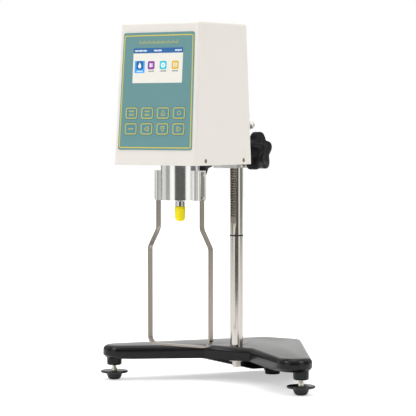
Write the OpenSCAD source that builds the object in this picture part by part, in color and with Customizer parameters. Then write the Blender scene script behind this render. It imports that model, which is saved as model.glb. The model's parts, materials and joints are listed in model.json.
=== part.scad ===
// Rotational viscometer on a rack-and-pinion stand.
// Millimetres, +Z up, the control panel faces -Y. Lengths along Y are given from the line
// through the two front feet; placed() then moves each piece so that the origin lies on the
// table under the centre of the whole outline.

/* [Base] */
// Distance between the two levelling feet
foot_spacing = 270; // [230:1:310]
// Radius of the rounded end of each arm
arm_end_r = 21.5; // [18:0.5:26]
// How far a levelling foot stands outside the centre of its arm's rounded end
foot_offset = 9.5; // [4:0.5:10]
// Wall line in the middle of the front, behind the front feet
middle_wall_y = 48.5; // [44:0.5:52]
// Half distance between the inner corners of the two arms
arm_root_x = 26.6; // [20:0.2:34]
// Rear wall, behind the front feet
base_rear_y = 181; // [172:1:195]
// Half distance between the centres of the rear corners
rear_corner_x = 21; // [15:1:40]
// Radius of the rear corners
rear_corner_r = 12; // [9:1:16]
// Height of the deck above the table
deck_z = 44.2; // [40:0.2:50]
// Thickness of the deck
deck_t = 6; // [4:0.5:8]
// Rounding along the deck's edge
deck_edge_r = 6.5; // [4:0.5:7]
// Height of the arms' lower edge
arm_bottom_z = 28; // [25:0.5:31]
// Chamfer under the rounded end of each arm
arm_chamfer = 4; // [3:0.2:5]
// Height of the rear skirt's lower edge
skirt_bottom_z = 3; // [2:0.5:8]
// Thickness of the skirt
skirt_t = 5; // [4:0.5:6]
// Where the skirt's lower edge begins to drop
skirt_start_y = 79; // [60:1:100]
// Where the skirt's lower edge reaches its lowest
skirt_end_y = 163; // [140:1:168]

/* [Feet] */
// Diameter of the boss that takes a levelling screw
foot_boss_d = 18.4; // [15:0.2:22]
// Height of the boss's lower face
foot_boss_z = 18.2; // [16:0.2:22]
// Diameter of a levelling screw
foot_screw_d = 5; // [4:0.5:8]
// Diameter of a foot's finger disc
foot_disc_d = 34; // [28:1:40]
// Height of the finger disc's upper face
foot_disc_z = 11.5; // [10:0.5:14]
// Diameter of the fixed rear foot
rear_foot_d = 19; // [14:1:20]
// Distance of the rear foot behind the front feet
rear_foot_y = 155; // [140:1:158]

/* [Column] */
// Diameter of the column
column_d = 16; // [14:0.5:20]
// Distance of the column behind the front feet
column_y = 70.4; // [68:0.2:76]
// Height of the column's upper end
column_top_z = 425; // [415:1:440]
// Height at which the rack slot begins
rack_low_z = 200; // [195:1:210]
// Width of the rack slot
rack_slot_w = 8; // [7:0.5:10]
// Gear module of rack and pinion
gear_module = 1; // [0.8:0.1:1.2]
// Teeth on the pinion
pinion_teeth = 14; // [12:1:16]
// Height of the rubber stop ring
stop_ring_z = 180; // [170:1:190]

/* [Carriage] */
// Height of the head's lower edge above the table
head_z = 269.2; // [262:0.2:276]
// Width of the sliding block
block_w = 32; // [30:0.5:36]
// Front face of the block, in front of the column's axis
block_front = 28.6; // [27:0.2:32]
// Height of the block
block_h = 66.6; // [62:0.2:72]
// Width of the arm that carries the head
arm_w = 26; // [20:1:30]
// Diameter of the pinion shaft
pinion_shaft_d = 7; // [5:0.5:8]
// Radius of a star knob to the tip of a lobe
knob_r = 24.5; // [22:0.5:27]
// Thickness of a star knob
knob_t = 14.5; // [12:0.5:18]
// Lobes on a star knob
knob_lobes = 5; // [5:1:6]
// Inner face of the lifting knob, from the column's plane
lift_knob_x = 31.3; // [28:0.1:34]
// Inner face of the locking knob, from the column's plane
lock_knob_x = 46.9; // [40:0.1:52]
// Diameter of the locking screw
lock_screw_d = 8; // [6:0.5:9]
// Diameter of the friction screw's dome nut
dome_nut_d = 9.2; // [8:0.2:11]

/* [Head] */
// Width of the head's cover at its lower edge
head_w = 115.5; // [112:0.5:124]
// Width of the cover at its top
head_top_w = 111; // [109:0.5:118]
// Height of the cover
head_h = 166; // [162:1:176]
// Front of the cover at its lower edge
head_front_y = -106.4; // [-112:0.2:-104]
// Front of the cover at its top
head_top_front_y = -94.5; // [-100:0.5:-92]
// Back of the cover at its lower edge
head_back_y = 14.9; // [13:0.1:18]
// Back of the cover at its top
head_top_back_y = 7.5; // [6:0.1:11]
// Wall of the cover
cover_t = 2; // [1.6:0.1:2.4]
// Rounding of the cover's edges
cover_r = 3.5; // [3:0.1:5]
// Thickness of the chassis floor
floor_t = 9; // [7:0.5:10]

/* [Spindle and guard] */
// Spindle axis, behind the front feet
spindle_y = -52.7; // [-54:0.1:-51]
// Diameter of the polished spindle housing
housing_d = 45.6; // [42:0.2:48]
// Length of the housing below the head
housing_l = 42; // [38:0.5:46]
// Diameter of the spindle shaft
spindle_d = 6; // [5:0.2:6.6]
// Diameter of the spindle's threaded end
spindle_end_d = 4.4; // [3:0.2:5]
// Diameter of the spindle nut
spindle_nut_d = 12; // [10:0.2:13]
// Length of the protective cap
cap_l = 17.4; // [16:0.2:20]
// Width of the guard's strip
guard_strip_w = 7.6; // [6:0.2:9]
// Thickness of the guard's strip
guard_strip_t = 2; // [1.5:0.1:2.5]
// Half width over the guard's upper legs
guard_top_x = 32; // [31:0.1:33.5]
// Half width over the guard's lower legs
guard_low_x = 44.2; // [42:0.1:48]
// Height of the guard's lower edge above the table
guard_low_z = 54.4; // [54:0.2:62]

/* [Panel] */
// Half width of the panel at its lower edge
panel_low_w = 52; // [50:0.5:53]
// Half width of the panel at its upper edge
panel_top_w = 49.7; // [48:0.1:51]
// Lower edge of the panel above the cover's lower edge
panel_low = 17.8; // [14:0.2:22]
// Height of the panel
panel_h = 136.5; // [134:0.5:140]
// Width of the display
screen_w = 70; // [64:1:74]
// Height of the display
screen_h = 40.8; // [38:0.2:44]
// Lower edge of the display above the panel's lower edge
screen_low = 77.7; // [76:0.1:80]
// Width of a key
key_w = 16.8; // [14:0.2:18]
// Height of a key
key_h = 13.5; // [12:0.1:15]
// Radius of a key's corners
key_corner_r = 3.2; // [2:0.1:4]
// Distance between keys along a row
key_pitch_x = 22.4; // [20:0.2:24]
// Distance between the two rows of keys
key_pitch_z = 18.35; // [17:0.05:20]

/* [Hidden] */
$fn = 64;
// Clearances: a shaft that turns or slides, a piece that stays put, and two bodies kept apart
run_gap = 0.05;
seat_gap = 0.02;
apart = 0.3;
through = 1; // how far a cutter runs past the face it opens

foot_x = foot_spacing / 2;
arm_end_x = foot_x - foot_offset;
arm_root_r = 8;
root_step_x = 18; // from the arm's inner corner to the middle wall's end
root_step_y = 15.7;
arm_root_y = middle_wall_y + root_step_y;
middle_x = arm_root_x + root_step_x;
foot_boss_round = 2;
rib_y = column_y + 24; // rib that ties the two arms together
rib_half_l = rear_corner_x + 40;
foot_bowl_h = 8.5;
foot_seat_r = 4.1;
rear_corner_y = base_rear_y - rear_corner_r;
deck_under_z = deck_z - deck_t;
mid_y = (base_rear_y + head_front_y) / 2;

column_socket_z = deck_z - 10;
column_boss_r = column_d / 2 + 7;
column_boss_z = arm_bottom_z - 1.5;
column_bolt_d = 6;
column_bolt_head_h = 7.2;
flange_t = 1.6;
stop_ring_r = 1.05;
stop_ring_axis_r = column_d / 2 - 0.45;
column_cap_h = 6;

// Rack and pinion
pi_ = 3.14159265;
tooth_pitch = pi_ * gear_module;
pinion_r = gear_module * pinion_teeth / 2;
pinion_tip_r = pinion_r + gear_module;
pinion_root_r = pinion_r - 1.25 * gear_module;
pressure_angle = 20;
backlash = 0.12 * gear_module;
rack_pitch_d = column_d / 2 - 2.5;
rack_tip_d = rack_pitch_d + 0.8 * gear_module;
rack_root_d = rack_pitch_d - 1.25 * gear_module;
rack_cutter_r = 12;
pinion_y = column_y - rack_pitch_d - pinion_r;
pinion_z = head_z + 13.8;
pinion_w = rack_slot_w - 1;

// Carriage
block_bottom_z = head_z - 5.8;
block_top_z = block_bottom_z + block_h;
block_front_y = column_y - block_front;
block_rear_r = block_w / 2;
chamber_r = pinion_tip_r + 1;
chamber_w = pinion_w + 1.4;
bush_left_r = pinion_shaft_d / 2 + 2;
side_plate_t = 4;
side_plate_front_y = block_front_y + 5.7;
side_plate_h = 39.6;
lock_z = head_z + 5.9;
lock_boss_l = 8;
friction_z = head_z + 45.8;
friction_screw_d = 6;
pad_t = 3;
arm_low_z = head_z + 11.8;
arm_h = 44;
m4_r = 2;
m4_head_r = 3.5;
m4_head_h = 4;
m3_r = 1.5;
m3_head_r = 2.75;
m3_head_h = 3;

// Head
chassis_gap = 0.1;
chassis_low_z = head_z + 0.5;
chassis_top_z = chassis_low_z + floor_t;
cover_rim = 0.5;
// Slope of a face that comes in by d between the rim and the rounded upper edge
function lean(d) =
    let (v = [d + cover_r, head_h - cover_r - cover_rim])
    atan(v[0] / v[1]) - asin(cover_r / norm(v));
front_lean = lean(head_top_front_y - head_front_y);
back_lean = lean(head_back_y - head_top_back_y);
side_lean = lean((head_w - head_top_w) / 2);
chassis_w = head_w - 2 * cover_t - 2 * floor_t * tan(side_lean) - 2 * chassis_gap - 0.4;
chassis_front_y = head_front_y + cover_t + floor_t * tan(front_lean) + chassis_gap + 0.4;
chassis_back_y = head_back_y - cover_t - floor_t * tan(back_lean) - chassis_gap - 0.4;
back_plate_t = 3;
back_plate_y = head_top_back_y - 5;
back_plate_w = 80;
back_plate_h = 60;
back_face_y = back_plate_y + back_plate_t;
cover_screw_y = [head_front_y + 21.8, head_back_y - 18.5];
cover_screw_z = head_z + 5;
cover_screw_r = 1.6;
cover_screw_head_r = 2.5;

// Spindle and drive
housing_r = housing_d / 2;
housing_z = chassis_low_z - housing_l - 0.4;
housing_wall = 2.8;
housing_floor_t = 3.7;
housing_flange_t = 5;
housing_flange_r = 14;
housing_screw_r = 17.6;
bearing_h = 5;
bearing_r = spindle_d / 2 + 5;
nut_gap = 1.3;
nut_h = 6;
nut_z = housing_z - nut_gap - nut_h;
nut_neck_r = spindle_nut_d / 2 - 1.8; // neck under the nut, which the cap grips
nut_neck_h = 3;
cap_z = nut_z - apart - cap_l;
cap_r = spindle_nut_d / 2 + 0.15;
cap_collar_h = 5.2;
cap_floor_t = 3;
cap_bore_r = spindle_end_d / 2 + 1; // room round the thread inside the cap
spindle_tip_z = cap_z + cap_floor_t + 0.6;
relief_r = spindle_end_d / 2 + 0.2; // plain collar between the thread and the nut
relief_h = 0.6;
thread_top_z = nut_z - nut_neck_h - relief_h;
bar_w = 13.4;
bar_low_z = housing_z - 0.3;
bar_h = 35.3;
guard_top_z = bar_low_z + bar_h - 1.4;
guard_knee_z = housing_z - 45;
guard_knee_r = 12;
guard_corner_r = 10;
guard_screw_z = [bar_low_z + 2.9, bar_low_z + 30];
guard_screw_r = 1.3;
guard_screw_head_r = 1.9;
guard_screw_head_h = 1.5;

post_r = 3.5;
post_offset = 27;
disc_r = 20;
disc_t = 0.8;
disc_slots = 24;
bridge_z = chassis_top_z + 21.3;
bridge_t = bearing_h;
sensing_disc_z = bridge_z - 8;
spring_z = bridge_z + bridge_t + 2.5;
spring_h = 1.2;
spring_t = 0.4;
spring_turns = 3.5;
spring_inner_r = spindle_d / 2 + 1.2;
spring_outer_r = 11.5;
spindle_top_z = spring_z + spring_h + 1.6;
drive_low_z = spindle_top_z + 0.8;
encoder_disc_z = drive_low_z + 7;
motor_plate_z = bridge_z + 45;
motor_plate_t = bearing_h;
motor_w = 42;
motor_h = 36;
motor_z = motor_plate_z + motor_plate_t;
motor_bore_h = 16;
motor_end_t = 9;
motor_step = 0.8;
sensor_w = 12;
sensor_t = 6;

// Panel, display and keys; depths are measured inwards from the cover's front face
overlay_t = 0.8;
key_rise = 0.4;
key_gap = 0.25;
key_in = 0.5;
key_travel = 0.35;
key_row_z = [panel_low + 24.35 + key_pitch_z, panel_low + 24.35];
keypad_mid_x = -0.55;
key_col_x = [for (i = [-1.5:1:1.5]) keypad_mid_x + i * key_pitch_x];
keypad_open_w = 3 * key_pitch_x + key_w + 2;
keypad_open_h = key_pitch_z + key_h + 3;
keypad_mid_z = (key_row_z[0] + key_row_z[1]) / 2;
board_t = 1.6;
dome_r = 4;
dome_h = cover_t - key_in - key_travel - 0.15;
screen_mid_z = panel_low + screen_low + screen_h / 2;
display_t = 5;
main_board_in = 10.5;
main_board_w = head_top_w - 2 * cover_t - 5;
keypad_board_h = keypad_open_h + 8;
display_board_h = screen_h + 12;
// The main board's posts stand below the keypad board and above the display's board
board_post_z = [keypad_mid_z - keypad_board_h / 2 - 4, screen_mid_z + display_board_h / 2 + 4];
board_margin = 4;
main_board_low = board_post_z[0] - board_margin;
main_board_h = board_post_z[1] + board_margin - main_board_low;

// Rear sockets; heights are measured up the cover's back face
socket_row = 112;
inlet_x = -(head_w / 2 - 35.75);
inlet_w = 48;
inlet_h = 27.5;
port_x = head_w / 2 - 31.75;
port_w = 31;
port_h = 12.5;
rocker_pivot_in = -3;
rocker_rest = 8;
level_y = head_top_front_y + 24;
level_r = 9;

// ---------------------------------------------------------------- helpers
module placed() translate([0, -mid_y, 0]) children();
module both_sides() { children(); mirror([1, 0, 0]) children(); }
// A cylinder along X from x1 to x2
module x_rod(r, x1, x2) translate([min(x1, x2), 0, 0]) rotate([0, 90, 0]) cylinder(r = r, h = abs(x2 - x1));
// A cylinder along Y from y1 to y2
module y_rod(r, y1, y2) translate([0, max(y1, y2), 0]) rotate([90, 0, 0]) cylinder(r = r, h = abs(y2 - y1));
// The front face of the cover: X across, +Y inwards, Z up the slope
module on_front() translate([0, head_front_y, head_z + cover_rim]) rotate([-front_lean, 0, 0])
    translate([0, 0, -cover_rim]) children();
// The back face of the cover: X across, +Y outwards, Z up the slope
module on_back() translate([0, head_back_y, head_z + cover_rim]) rotate([back_lean, 0, 0])
    translate([0, 0, -cover_rim]) children();

function unit(v) = v / norm(v);
// The outline p with each corner i rounded by radius r[i]
function rounded(p, r, steps = 8) = [
    for (i = [0:len(p) - 1])
        let (
            u = unit(p[(i + len(p) - 1) % len(p)] - p[i]),
            v = unit(p[(i + 1) % len(p)] - p[i]),
            half = acos(u * v) / 2,
            centre = p[i] + unit(u + v) * r[i] / sin(half),
            s = p[i] + u * r[i] / tan(half) - centre,
            e = p[i] + v * r[i] / tan(half) - centre,
            a = atan2(s[1], s[0]),
            sweep = (atan2(e[1], e[0]) - a + 540) % 360 - 180
        )
        for (k = [0:steps])
            centre + r[i] * [cos(a + sweep * k / steps), sin(a + sweep * k / steps)]
];
function rect(w, h) = [[-w / 2, -h / 2], [w / 2, -h / 2], [w / 2, h / 2], [-w / 2, h / 2]];
// A plate w by h with corners of radius r, standing in X and Z, t thick towards +Y
module upright_plate(w, h, r, t) rotate([90, 0, 0]) mirror([0, 0, 1])
    linear_extrude(t) polygon(rounded(rect(w, h), [r, r, r, r], 5));

// ---------------------------------------------------------------- base
// A round post of the base with its upper edge rounded, from the points low upwards
module deck_post(r, low) {
    rotate_extrude($fn = 48) polygon(concat(
        low,
        [for (a = [0:15:90]) [r, deck_z] - deck_edge_r * [1 - cos(a), 1 - sin(a)]],
        [[0, deck_z]]));
}
// The three convex parts of the base outline, drawn by the child at each round corner
module arm_corners(inset = 0) {
    translate([arm_end_x, 0]) {
        if (inset == 0) deck_post(arm_end_r, [[0, arm_bottom_z], [arm_end_r - arm_chamfer, arm_bottom_z],
            [arm_end_r, arm_bottom_z + arm_chamfer]]);
        else circle(r = arm_end_r - arm_chamfer - inset, $fn = 36);
    }
    translate([arm_root_x, arm_root_y]) base_corner(arm_root_r, inset);
    translate([rear_corner_x, rear_corner_y]) base_corner(rear_corner_r, inset);
}
module middle_corners(inset = 0) {
    both_sides() translate([middle_x, middle_wall_y + arm_root_r]) base_corner(arm_root_r, inset);
    both_sides() translate([rear_corner_x, rear_corner_y]) base_corner(rear_corner_r, inset);
}
module base_corner(r, inset) {
    if (inset == 0) deck_post(r, [[0, skirt_bottom_z - through], [r, skirt_bottom_z - through]]);
    else circle(r = r - inset, $fn = 36);
}
module base_rib(from, to, low) {
    length = norm(to - from);
    translate([from[0], from[1], low]) rotate([0, 0, atan2(to[1] - from[1], to[0] - from[0])])
        translate([0, -skirt_t / 2, 0]) cube([length, skirt_t, deck_under_z + through - low]);
}
// The boss round a levelling screw, a little wider at its root and rounded at its lower edge
module foot_boss() {
    r = foot_boss_d / 2;
    z = foot_boss_z + foot_boss_round;
    rotate_extrude($fn = 48) polygon(concat(
        [[0, foot_boss_z]],
        [for (a = [0:22.5:90]) [r - foot_boss_round * (1 - sin(a)), z - foot_boss_round * cos(a)]],
        [[r + 0.4, deck_under_z + through], [0, deck_under_z + through]]));
}
module base_casting() color("#1c1c1e") placed() difference() {
    union() {
        difference() {
            union() {
                both_sides() hull() arm_corners();
                hull() middle_corners();
            }
            // Lower edge: level along the arms, then down to the rear
            translate([-foot_spacing, 0, 0]) rotate([90, 0, 90]) linear_extrude(2 * foot_spacing) polygon([
                [-2 * arm_end_r, 0], [base_rear_y + through, 0], [base_rear_y + through, skirt_bottom_z],
                [skirt_end_y, skirt_bottom_z], [skirt_start_y, arm_bottom_z],
                [-2 * arm_end_r, arm_bottom_z]]);
            // Hollow underside
            translate([0, 0, -through]) linear_extrude(deck_under_z + through) {
                both_sides() hull() arm_corners(skirt_t);
                hull() middle_corners(skirt_t);
            }
        }
        both_sides() translate([foot_x, 0, 0]) foot_boss();
        translate([0, column_y, column_boss_z])
            cylinder(r = column_boss_r, h = deck_under_z + through - column_boss_z);
        translate([0, rear_foot_y, skirt_bottom_z + 2])
            cylinder(d = rear_foot_d + 3, h = deck_under_z + through - skirt_bottom_z - 2);
        both_sides() base_rib([0, column_y], [arm_root_x, arm_root_y], arm_bottom_z + 3);
        base_rib([0, column_y], [0, rear_foot_y], arm_bottom_z + 3);
        both_sides() base_rib([0, rib_y], [rib_half_l, rib_y], arm_bottom_z);
    }
    both_sides() translate([foot_x, 0, foot_boss_z - through])
        cylinder(d = foot_screw_d + 2 * run_gap, h = deck_under_z - foot_boss_z + through);
    translate([0, column_y, column_socket_z]) cylinder(d = column_d + 2 * seat_gap, h = deck_t + 10);
    translate([0, column_y, 0]) cylinder(d = column_bolt_d + 2 * seat_gap, h = deck_z);
    translate([0, rear_foot_y, 0]) cylinder(r = 4 + seat_gap, h = deck_under_z - 10);
}

// ---------------------------------------------------------------- feet
// A finger disc with a rounded rim over a bowl that bulges out from its flat seat
module foot_disc() {
    r = foot_disc_d / 2;
    z = foot_disc_z;
    rim_r = (z - foot_bowl_h) / 2;
    bowl_r = r * 0.56;
    difference() {
        rotate_extrude() polygon(concat(
            [[0, 0]],
            [for (a = [0:15:75]) [foot_seat_r + (bowl_r - foot_seat_r) * sin(a), foot_bowl_h * (1 - cos(a))]],
            [[bowl_r + 0.9, foot_bowl_h]],
            [for (a = [-90:30:90]) [r - rim_r + rim_r * cos(a), z - rim_r + rim_r * sin(a)]],
            [[0, z]]));
        translate([0, 0, 4]) cylinder(d = foot_screw_d + 2 * seat_gap, h = z);
    }
}
module foot_stud() {
    r = foot_screw_d / 2;
    translate([0, 0, 4]) cylinder(r = r, h = deck_under_z - 6);
    rotate_extrude() polygon([[0, foot_disc_z], [r + 1.1, foot_disc_z], [r + 1.1, foot_disc_z + 0.8],
        [r, foot_disc_z + 3.6], [0, foot_disc_z + 3.6]]);
}
module foot_disc_left() color("#202022") placed() translate([-foot_x, 0, 0]) foot_disc();
module foot_disc_right() color("#202022") placed() translate([foot_x, 0, 0]) foot_disc();
module foot_stud_left() color("#c9c7c2") placed() translate([-foot_x, 0, 0]) foot_stud();
module foot_stud_right() color("#c9c7c2") placed() translate([foot_x, 0, 0]) foot_stud();
module rear_foot() color("#202022") placed() translate([0, rear_foot_y, 0]) {
    rotate_extrude() polygon([[0, 0], [rear_foot_d / 2 - 0.8, 0], [rear_foot_d / 2, 0.8],
        [rear_foot_d / 2, skirt_bottom_z + 2], [0, skirt_bottom_z + 2]]);
    cylinder(r = 4, h = skirt_bottom_z + 12);
}

// ---------------------------------------------------------------- column
// Gap between two rack teeth, as a section across the tooth line
module rack_gap() {
    lean = tan(pressure_angle);
    half = tooth_pitch / 4;
    top = rack_tip_d - rack_pitch_d + 0.2;
    low = rack_pitch_d - rack_root_d;
    polygon([[-half - top * lean, top], [-half + low * lean, -low],
        [half - low * lean, -low], [half + top * lean, top]]);
}
module column() color("#b9b4ad") placed() translate([0, column_y, 0]) difference() {
    translate([0, 0, column_socket_z]) cylinder(d = column_d, h = column_top_z - column_socket_z);
    // Slot with a run-out left by the cutter
    intersection() {
        translate([-rack_slot_w / 2, -column_d, 0]) cube([rack_slot_w, column_d, 2 * column_top_z]);
        union() {
            translate([-rack_slot_w, -rack_tip_d - column_d, rack_low_z])
                cube([2 * rack_slot_w, column_d, column_top_z]);
            translate([0, -rack_tip_d - rack_cutter_r, rack_low_z])
                x_rod(rack_cutter_r, -rack_slot_w, rack_slot_w);
        }
    }
    // Teeth, in step with the pinion
    first = ceil((rack_low_z + tooth_pitch - pinion_z) / tooth_pitch);
    last = floor((column_top_z - 5 - pinion_z) / tooth_pitch);
    for (k = [first:last])
        translate([-rack_slot_w / 2, -rack_pitch_d, pinion_z + k * tooth_pitch])
            rotate([90, 0, 90]) rotate([0, 0, 90]) linear_extrude(rack_slot_w) rack_gap();
    translate([0, 0, stop_ring_z]) rotate_extrude()
        translate([stop_ring_axis_r, 0]) circle(r = stop_ring_r, $fn = 24);
    translate([0, 0, column_socket_z - through]) cylinder(d = column_bolt_d + 2 * seat_gap, h = 18);
    translate([0, 0, column_top_z - 12]) cylinder(d = column_bolt_d + 2 * seat_gap, h = 13);
}
module column_bolt() color("#cfccc6") placed() translate([0, column_y, column_boss_z - flange_t]) {
    translate([0, 0, -column_bolt_head_h]) cylinder(d = 11.5, h = column_bolt_head_h, $fn = 6);
    cylinder(r = 9, h = flange_t);
    cylinder(d = column_bolt_d, h = column_socket_z + 14 - column_boss_z + flange_t);
}
module stop_ring() color("#141414") placed() translate([0, column_y, stop_ring_z])
    rotate_extrude() translate([stop_ring_axis_r, 0]) circle(r = stop_ring_r - seat_gap, $fn = 24);
module column_cap() color("#202022") placed() translate([0, column_y, column_top_z]) {
    rotate_extrude() polygon([[0, 0], [column_d / 2 + 1.5, 0], [column_d / 2 + 1.5, column_cap_h - 1.5],
        [column_d / 2, column_cap_h], [0, column_cap_h]]);
    translate([0, 0, -10]) cylinder(d = column_bolt_d, h = 11);
}

// ---------------------------------------------------------------- carriage
module carriage_block() color("#d9d8d4") placed() difference() {
    union() {
        translate([0, 0, block_bottom_z]) linear_extrude(block_h) polygon(concat(
            rounded([[-block_w / 2, column_y], [-block_w / 2, block_front_y], [block_w / 2, block_front_y],
                [block_w / 2, column_y]], [0.01, 1.5, 1.5, 0.01], 3),
            [for (a = [6:6:174]) [block_rear_r * cos(a), column_y + block_rear_r * sin(a)]]));
        translate([-arm_w / 2, back_face_y, arm_low_z]) cube([arm_w, block_front_y - back_face_y + 2, arm_h]);
        translate([0, column_y, lock_z]) x_rod(lock_screw_d / 2 + 5, -block_w / 2 - lock_boss_l, 0);
    }
    translate([0, column_y, block_bottom_z - through])
        cylinder(d = column_d + 2 * run_gap, h = block_h + 2 * through);
    translate([0, pinion_y, pinion_z]) {
        x_rod(chamber_r, -chamber_w / 2, block_w / 2 + through);
        x_rod(bush_left_r + seat_gap, -block_w / 2 - through, 0);
    }
    translate([0, column_y, lock_z])
        x_rod(lock_screw_d / 2 + run_gap, -block_w / 2 - lock_boss_l - through, 0);
    translate([0, column_y, friction_z]) x_rod(friction_screw_d / 2 + seat_gap, 0, block_w / 2 + through);
    each_side_screw() x_rod(m3_r + seat_gap, block_w / 2 - 6, block_w / 2 + through);
    each_arm_screw() y_rod(m4_r + seat_gap, back_face_y - through, back_face_y + 12);
}
module each_side_screw() for (y = [side_plate_front_y + 3.2, column_y - 3.2])
    for (z = [block_bottom_z + 3.4, block_bottom_z + side_plate_h - 3.4]) translate([0, y, z]) children();
module each_arm_screw() for (x = [-arm_w / 2 + 5, arm_w / 2 - 5])
    for (z = [arm_low_z + 9, arm_low_z + arm_h - 7]) translate([x, 0, z]) children();
module side_plate() color("#e3e2de") placed() difference() {
    translate([block_w / 2, side_plate_front_y, block_bottom_z])
        cube([side_plate_t, column_y - side_plate_front_y, side_plate_h]);
    translate([0, pinion_y, pinion_z]) x_rod(pinion_shaft_d / 2 + 1, 0, block_w);
    each_side_screw() x_rod(m3_r + seat_gap, 0, block_w);
}
module socket_screw(r, l, head_r, head_h) {
    x_rod(r, -l, 0);
    difference() {
        x_rod(head_r, 0, head_h);
        translate([head_h / 2, 0, 0]) rotate([0, 90, 0]) cylinder(r = r * 0.8, h = head_h, $fn = 6);
    }
}
module socket_screws() color("#8f8d89") placed() {
    translate([block_w / 2 + side_plate_t, 0, 0]) each_side_screw()
        socket_screw(m3_r, side_plate_t + 5, m3_head_r, m3_head_h);
    each_arm_screw() translate([0, back_plate_y, 0]) rotate([0, 0, -90])
        socket_screw(m4_r, back_plate_t + 10, m4_head_r, m4_head_h);
    each_housing_screw(chassis_top_z) rotate([0, -90, 0])
        socket_screw(m3_r, floor_t + housing_flange_t - 0.5, m3_head_r, m3_head_h);
}
module pinion_bushes() color("#c2a14e") placed() translate([0, pinion_y, pinion_z]) difference() {
    union() {
        x_rod(chamber_r - seat_gap, chamber_w / 2 + 0.2, block_w / 2);
        x_rod(bush_left_r, -block_w / 2, -chamber_w / 2 - 0.2);
    }
    x_rod(pinion_shaft_d / 2 + run_gap, -block_w, block_w);
    // Bored together with the block for the column
    translate([0, rack_pitch_d + pinion_r, -block_h]) cylinder(d = column_d + 4 * run_gap, h = 2 * block_h);
}
module brake_pads() color("#c2a14e") placed() {
    near = column_d / 2 + apart;
    translate([0, column_y, lock_z]) x_rod(lock_screw_d / 2, -near - pad_t, -near);
    translate([0, column_y, friction_z]) x_rod(friction_screw_d / 2, near, near + pad_t);
}
module friction_screw() color("#cfccc6") placed() translate([0, column_y, friction_z]) {
    x_rod(friction_screw_d / 2, column_d / 2 + apart + pad_t, block_w / 2 + 1);
    translate([block_w / 2, 0, 0]) rotate([0, 90, 0]) cylinder(d = dome_nut_d, h = 5);
    translate([block_w / 2 + 5, 0, 0]) sphere(d = dome_nut_d, $fn = 32);
}

// ---------------------------------------------------------------- lifting and locking knobs
function involute(angle) = tan(angle) * 180 / pi_ - angle;
function flank(r, base_r) = r <= base_r ? 0 : involute(acos(base_r / r));
// Outline of the pinion, one tooth centred on the first axis
function pinion_outline() =
    let (
        base_r = pinion_r * cos(pressure_angle),
        half = 90 / pinion_teeth - backlash / pinion_r * 90 / pi_,
        wide = half + flank(pinion_r, base_r),
        radii = [pinion_root_r, base_r, (base_r + pinion_r) / 2,
            pinion_r, (pinion_r + pinion_tip_r) / 2, pinion_tip_r]
    )
    [for (i = [0:pinion_teeth - 1], s = [-1, 1], j = [0:len(radii) - 1])
        let (
            r = radii[s < 0 ? j : len(radii) - 1 - j],
            a = 360 / pinion_teeth * i + s * (wide - flank(r, base_r))
        )
        r * [cos(a), sin(a)]];
module pinion_shaft() color("#b9b4ad") placed() translate([0, pinion_y, pinion_z]) {
    translate([-pinion_w / 2, 0, 0]) rotate([90, 0, 90]) linear_extrude(pinion_w) polygon(pinion_outline());
    x_rod(pinion_shaft_d / 2, -block_w / 2 + 0.5, lift_knob_x + knob_t * 0.6);
}
rim_r = 3.2;
rim_steps = 4;
// Outline of a star knob with one lobe at the given angle
function star(shrink, turn) = [for (a = [0:6:354])
    (knob_r * (0.86 + 0.14 * cos(knob_lobes * (a - turn))) - shrink) * [cos(a), sin(a)]];
// A star knob along +X from its inner face, with rounded rims
module star_knob(turn, hub_l, hub_r, bore_r) difference() {
    union() {
        rotate([90, 0, 90]) for (i = [0:rim_steps]) {
            // Each layer is one step of the rounded rims: how far in, and how thick
            in = rim_r * (1 - cos(90 * i / rim_steps));
            from = rim_r * (1 - sin(90 * i / rim_steps));
            translate([0, 0, from]) linear_extrude(knob_t - 2 * from) polygon(star(in, turn));
        }
        x_rod(hub_r, -hub_l, 1);
    }
    x_rod(bore_r, -hub_l - through, knob_t * 0.6 + 0.2);
}
module lift_knob() color("#1b1b1d") placed() translate([lift_knob_x, pinion_y, pinion_z])
    star_knob(20, lift_knob_x - block_w / 2 - side_plate_t - apart, 9, pinion_shaft_d / 2 + seat_gap);
module lock_knob() color("#1b1b1d") placed() translate([-lock_knob_x, column_y, lock_z]) mirror([1, 0, 0])
    star_knob(-18, lock_knob_x - block_w / 2 - lock_boss_l - 7, 8, lock_screw_d / 2 + seat_gap);
module lock_stud() color("#b9b4ad") placed() translate([0, column_y, lock_z])
    x_rod(lock_screw_d / 2, -lock_knob_x - knob_t * 0.6, -column_d / 2 - apart - pad_t - 0.1);

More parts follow.
